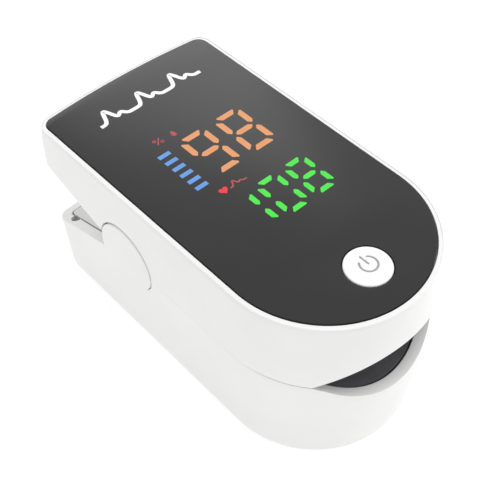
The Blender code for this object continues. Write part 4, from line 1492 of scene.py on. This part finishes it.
@dataclass
class PowerButton:
    """Round push button with a dished face and an engraved on-off mark."""

    y: float = BUTTON_Y
    radius: float = 3.37
    top: float = 33.25
    edge: float = 0.22
    flange_low: float = 29.75
    flange_high: float = 30.50
    flange_radius: float = 4.40
    dish: float = 0.06
    mark_x: float = 0.31
    mark_y: float = -22.39
    mark_radius: float = 1.27
    mark_from: float = 134.0
    mark_sweep: float = 279.0
    bar_top: float = 1.55
    bar_foot: float = 0.06
    stroke: float = 0.34
    depth: float = 0.16

    def groove(self) -> list[bpy.types.Object]:
        """Return the two solids that cut the mark into the face."""
        half = self.stroke * 0.5
        turns = [math.radians(self.mark_from + self.mark_sweep * k / 60) for k in range(61)]
        ring = [(self.mark_x + self.mark_radius * math.cos(a),
                 self.mark_y + self.mark_radius * math.sin(a)) for a in turns]
        bar = [(self.mark_x, self.mark_y + self.bar_top), (self.mark_x, self.mark_y + self.bar_foot)]
        tools = []
        for name, path in (("mark_ring", ring), ("mark_bar", bar)):
            outline = self.rounded(path, half)
            tools.append(prism(name, outline, self.top - self.dish - self.depth, self.top + 1.0))
        return tools

    def rounded(self, path: Sequence[Flat], half: float) -> list[Flat]:
        """Return a line of even width with round ends, as one outline."""
        points = [Vector(p) for p in path]
        left: list[Flat] = []
        right: list[Flat] = []
        for i, point in enumerate(points):
            ahead = points[min(i + 1, len(points) - 1)]
            behind = points[max(i - 1, 0)]
            run = (ahead - behind).normalized()
            side = Vector((-run.y, run.x)) * half
            left.append(tuple(point + side))
            right.append(tuple(point - side))
        ends = []
        for point, facing in ((points[-1], points[-1] - points[-2]), (points[0], points[0] - points[1])):
            base = math.atan2(facing.y, facing.x)
            cap = []
            for k in range(1, 8):
                a = base + math.pi * (0.5 - k / 8)
                cap.append((point.x + half * math.cos(a), point.y + half * math.sin(a)))
            ends.append(cap)
        outline = left + ends[0] + right[::-1] + ends[1]
        return outline[::-1]

    def build(self) -> bpy.types.Object:
        """Turn the button, engrave it and hang it on its own body.

        Returns:
            The finished button.
        """
        r, top, edge = self.radius, self.top, self.edge
        profile: list[Flat] = [(self.flange_low, 0.0), (self.flange_low, self.flange_radius),
                               (self.flange_high, self.flange_radius), (self.flange_high, r),
                               (top - edge, r)]
        for k in range(1, 7):
            a = 0.5 * math.pi * k / 6
            profile.append((top - edge + edge * math.sin(a), r - edge + edge * math.cos(a)))
        for k in range(1, 12):
            share = k / 12
            sunk = self.dish * (1.0 - (1.0 - share) ** 2) ** 0.8
            profile.append((top - sunk, (r - edge) * (1.0 - share)))
        profile.append((top - self.dish, 0.0))
        button = turned("power_push_button", profile, (0.0, self.y, 0.0), (0.0, 0.0, 1.0), 128)
        carve(button, self.groove())
        settle(button, Body.BUTTON, BUTTON_ABS, "power_button", angle=32.0)
        # The faces of the engraved mark's groove get the grey painted shade, in place of the shadow that
        # falls in the groove.
        button.data.materials.append(ENGRAVED_PAINTED_SHADE.material())
        limit = (self.top - self.dish - self.depth + 0.02) * MM
        reach = (self.mark_radius + self.stroke * 2.0) * MM
        for poly in button.data.polygons:
            middle = poly.center
            near = math.hypot(middle.x - self.mark_x * MM, middle.y - self.mark_y * MM) < reach
            if near and self.flange_high * MM < middle.z < limit:
                poly.material_index = 1
        return button


@dataclass
class BatteryDoor:
    """Sliding door under the battery half, wrapped round the rear bottom edge."""

    top: float = 1.40
    edge: float = 0.45
    tongue_half: float = 12.30
    tongue_low: float = 0.70
    tongue_high: float = 1.10
    ribs: int = 6
    rib_pitch: float = 1.50
    rib_from: float = 13.60

    def grips(self) -> bpy.types.Object:
        """Repeat the thumb grooves along the door with Geometry Nodes."""
        groove = block("groove_seed", (-5.0, -0.36, -1.0), (5.0, 0.36, 0.32), 0.14, 2)
        tree, given = open_group("thumb_grooves", {
            "Seed Piece": "Object", "Count": "Int", "Pitch": "Float", "Start": "Vector",
            "Plastic": "Material"})
        shape = add_node(tree, "GeometryNodeObjectInfo", inputs={"Object": given["Seed Piece"]})
        close_group(tree, row_of(tree, given, shape.outputs["Geometry"]), given["Plastic"])
        cutter = grown("thumb_grooves", tree, {
            "Seed Piece": groove, "Count": self.ribs, "Pitch": self.rib_pitch * MM,
            "Start": (0.0, self.rib_from * MM, 0.0), "Plastic": WHITE_ABS.material()})
        bpy.data.objects.remove(groove, do_unlink=True)
        return cutter

    def build(self) -> bpy.types.Object:
        """Build the door from the case's own outline and cut its grooves.

        Returns:
            The finished door.
        """
        outline = Outline()
        base = LOWER_TABLE.at(BASE_RADIUS)
        rings: list[Ring] = [outline.ring(base, 0.0, BASE_RADIUS + 3.0)]
        for up, into in reversed(quarter(BASE_RADIUS, 12)):
            if up < self.top:
                rings.append(outline.ring(base, up, into))
        last = BASE_RADIUS - math.sqrt(BASE_RADIUS ** 2 - (BASE_RADIUS - self.top) ** 2)
        rings.append(outline.ring(base, self.top, last))
        door = skin("sliding_battery_door", rings)
        size = block("door_size", (-DOOR_HALF, DOOR_FRONT, -1.0), (DOOR_HALF, PAST_REAR, 5.0), self.edge, 3)
        carve(door, [size], "INTERSECT")
        tongues = block("tongues", (-self.tongue_half, DOOR_FRONT + 0.6, self.tongue_low),
                        (self.tongue_half, 26.0, self.tongue_high))
        carve(door, [tongues], "UNION")
        carve(door, [self.grips()])
        return settle(door, Body.DOOR, WHITE_ABS, "battery_door")


@dataclass
class PowerCells:
    """Two cells side by side, their contact plates and springs."""

    x: float = 5.60
    z: float = 7.25
    radius: float = 5.25
    nub: float = 0.80
    body: float = 43.7
    front_end: float = -21.70
    rear_end: float = 24.60
    coil_turns: float = 2.6
    coil_wide: float = 3.30
    coil_narrow: float = 2.00
    coil_wire: float = 0.22

    def cell(self, side: int, word: str) -> bpy.types.Object:
        """Turn one cell: nub, crimped shoulder, sleeve and rolled negative end."""
        r = self.radius
        profile: list[Flat] = [(0.0, 0.0), (0.0, 1.45), (0.12, 1.72), (0.25, 1.80), (0.78, 1.85),
                               (self.nub, 4.05), (0.86, 4.20), (0.86, 4.55), (self.nub, 4.70),
                               (0.84, r - 0.25), (0.95, r - 0.08), (1.12, r)]
        end = self.nub + self.body
        profile += [(end - 0.35, r), (end - 0.12, r - 0.10), (end - 0.02, r - 0.32), (end, r - 0.7),
                    (end - 0.12, r - 1.0), (end - 0.12, 0.0)]
        place = self.front_end if side < 0 else self.rear_end
        cell = turned("power_cell_" + word, profile, (side * self.x, place, self.z),
                      (0.0, -side, 0.0), 72)
        finish = BLUE_SLEEVE if side < 0 else BLUE_SLEEVE_REAR
        settle(cell, Body.LOWER, finish, "battery_" + word)
        cell.data.materials.append(STEEL.material())
        for poly in cell.data.polygons:
            middle = poly.center
            off = math.hypot(middle.x - side * self.x * MM, middle.z - self.z * MM)
            if off < (r - 0.4) * MM:
                poly.material_index = 1
        return cell

    def plate(self, name: str, low: Point, high: Point, node: str) -> bpy.types.Object:
        """Stamp one contact plate with a soft edge."""
        obj = block(name, low, high, 0.08, 2)
        return settle(obj, Body.LOWER, STEEL, node)

    def coil(self, name: str, x: float, y0: float, y1: float, node: str) -> bpy.types.Object:
        """Wind one conical contact spring along a Geometry Nodes spiral."""
        tree, given = open_group(name, {
            "Turns": "Float", "Wide End": "Float", "Narrow End": "Float", "Length": "Float",
            "Wire": "Float", "Metal": "Material"})
        spiral = add_node(tree, "GeometryNodeCurveSpiral", inputs={
            "Resolution": 48, "Rotations": given["Turns"], "Start Radius": given["Wide End"],
            "End Radius": given["Narrow End"], "Height": given["Length"]})
        circle = add_node(tree, "GeometryNodeCurvePrimitiveCircle", inputs={
            "Resolution": 12, "Radius": given["Wire"]})
        wire = add_node(tree, "GeometryNodeCurveToMesh", inputs={
            "Curve": spiral.outputs["Curve"], "Profile Curve": circle.outputs["Curve"], "Fill Caps": True})
        close_group(tree, wire.outputs["Mesh"], given["Metal"])
        obj = grown(name, tree, {
            "Turns": self.coil_turns, "Wide End": self.coil_wide * MM, "Narrow End": self.coil_narrow * MM,
            "Length": abs(y1 - y0) * MM, "Wire": self.coil_wire * MM, "Metal": STEEL.material()})
        lean = Matrix.Rotation(math.radians(-90.0 if y1 > y0 else 90.0), 4, "X")
        obj.data.transform(Matrix.Translation((x * MM, y0 * MM, self.z * MM)) @ lean)
        bm = bmesh.new()
        bm.from_mesh(obj.data)
        bmesh.ops.remove_doubles(bm, verts=bm.verts, dist=WELD)
        bmesh.ops.recalc_face_normals(bm, faces=bm.faces)
        bm.to_mesh(obj.data)
        bm.free()
        return settle(obj, Body.LOWER, STEEL, node, angle=60.0)

    def build(self) -> None:
        """Build the cells and their contacts."""
        self.cell(-1, "left")
        self.cell(1, "right")
        self.plate("bridge_contact", (-10.0, -22.30, 3.4), (10.0, -22.00, 11.0), "contact_bridge")
        self.plate("negative_contact", (-9.6, 24.85, 3.4), (-1.6, 25.15, 11.0), "contact_negative")
        self.plate("positive_contact", (1.6, 24.85, 3.4), (9.6, 25.15, 11.0), "contact_positive")
        self.coil("cell_spring_front", self.x, -21.45, -20.25, "battery_spring_front")
        self.coil("cell_spring_rear", -self.x, 24.30, 23.10, "battery_spring_rear")


@dataclass
class Electronics:
    """Boards, chips and screws that are carried over from the frame."""

    def build(self) -> None:
        """Dress the carried-over pieces by their real materials."""
        for node in ("main_board", "sensor_board"):
            dress(node, BOARD)
        for node in ("display_module", "microcontroller", "photodiode"):
            dress(node, EPOXY)
        for node in ("board_connector", "sensor_connector", "emitter_led"):
            dress(node, NYLON)
        dress("tactile_switch", STEEL)
        for word in ("left", "right"):
            for half, body in (("lower", Body.LOWER), ("upper", Body.UPPER)):
                node = half + "_screw_" + word
                screw = refined(half + "_case_screw_" + word, node, 0.04)
                settle(screw, body, STEEL, node)


# ------------------------------------------------------------------ studio

@dataclass
class Studio:
    """Pale floor, soft lights and the camera."""

    camera_at: Point = (-62.82, -68.06, 126.70)
    azimuth: float = -42.678
    elevation: float = 49.909
    lens: float = 66.73
    sky: float = 0.715
    floor_half: float = 1500.0
    floor_z: float = -0.05

    def floor(self) -> None:
        """Lay a plain matt white floor, just under the case."""
        size = self.floor_half * MM
        bm = bmesh.new()
        corners = ((-1, -1), (1, -1), (1, 1), (-1, 1))
        bm.faces.new([bm.verts.new((x * size, y * size, self.floor_z * MM)) for x, y in corners])
        floor = from_bmesh("studio_floor", bm, weld=False)
        made = bpy.data.materials.new("matt_white_paper")
        made.use_nodes = True
        tree = made.node_tree
        shader = tree.nodes["Principled BSDF"]
        shader.inputs["Roughness"].default_value = 0.9
        shader.inputs["Specular IOR Level"].default_value = 0.1
        shader.inputs["Emission Color"].default_value = (1.0, 1.0, 1.0, 1.0)
        shader.inputs["Emission Strength"].default_value = 0.60
        shader.inputs["Base Color"].default_value = linear("#BCBCBC")
        floor.data.materials.append(made)

    def lamp(self, name: str, place: Point, target: Point, size: float, watts: float,
             mirrored: bool = True) -> None:
        """Hang one square soft light, aimed at a point (millimetres)."""
        data = bpy.data.lights.new(name, "AREA")
        data.shape = "SQUARE"
        data.size = size * MM
        data.energy = watts
        lamp = bpy.data.objects.new(name, data)
        bpy.context.scene.collection.objects.link(lamp)
        lamp.location = Vector(place) * MM
        aim = (Vector(target) - Vector(place)).to_track_quat("-Z", "Y")
        lamp.rotation_euler = aim.to_euler()
        lamp.visible_glossy = mirrored

    def lights(self) -> None:
        """Set the sky and the soft lights."""
        world = bpy.data.worlds.new("soft_studio")
        bpy.context.scene.world = world
        world.use_nodes = True
        back = world.node_tree.nodes["Background"]
        back.inputs["Color"].default_value = (1.0, 1.0, 1.0, 1.0)
        back.inputs["Strength"].default_value = self.sky
        self.lamp("top_softbox", (60.0, -60.0, 420.0), (0.0, 0.0, 20.0), 300.0, 0.60, False)
        self.lamp("rear_softbox", (230.0, 352.0, 245.0), (0.0, 10.0, 30.0), 290.0, 0.31)
        self.lamp("right_softbox", (350.0, -120.0, 150.0), (0.0, 0.0, 15.0), 250.0, 0.27, False)

    def camera(self) -> None:
        """Place the camera."""
        az = math.radians(self.azimuth)
        el = math.radians(self.elevation)
        back = Vector((math.sin(az) * math.cos(el), -math.cos(az) * math.cos(el), math.sin(el)))
        right = Vector((0.0, 0.0, 1.0)).cross(back).normalized()
        up = back.cross(right)
        pose = Matrix((right, up, back)).transposed().to_4x4()
        pose.translation = Vector(self.camera_at) * MM
        data = bpy.data.cameras.new("studio_camera")
        data.lens = self.lens
        data.sensor_width = 36.0
        data.clip_start = 0.005
        data.dof.use_dof = False
        camera = bpy.data.objects.new("studio_camera", data)
        camera.matrix_world = pose
        bpy.context.scene.collection.objects.link(camera)
        bpy.context.scene.camera = camera

    def build(self) -> None:
        """Set the studio up."""
        self.camera()
        self.floor()
        self.lights()
        bpy.context.scene.view_settings.view_transform = "Standard"


def save_sizes() -> None:
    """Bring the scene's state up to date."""
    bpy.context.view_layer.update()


def main() -> None:
    """Build the studio and every piece, in order."""
    logging.basicConfig(level=logging.INFO, format="%(name)s %(message)s")
    Studio().build()
    lower = LowerCase()
    lower.build()
    lower.bay()
    UpperCase().build()
    Hinge().build()
    Channel().build()
    Face().build()
    PowerButton().build()
    BatteryDoor().build()
    PowerCells().build()
    Electronics().build()
    save_sizes()


if __name__ == "__main__":
    main()
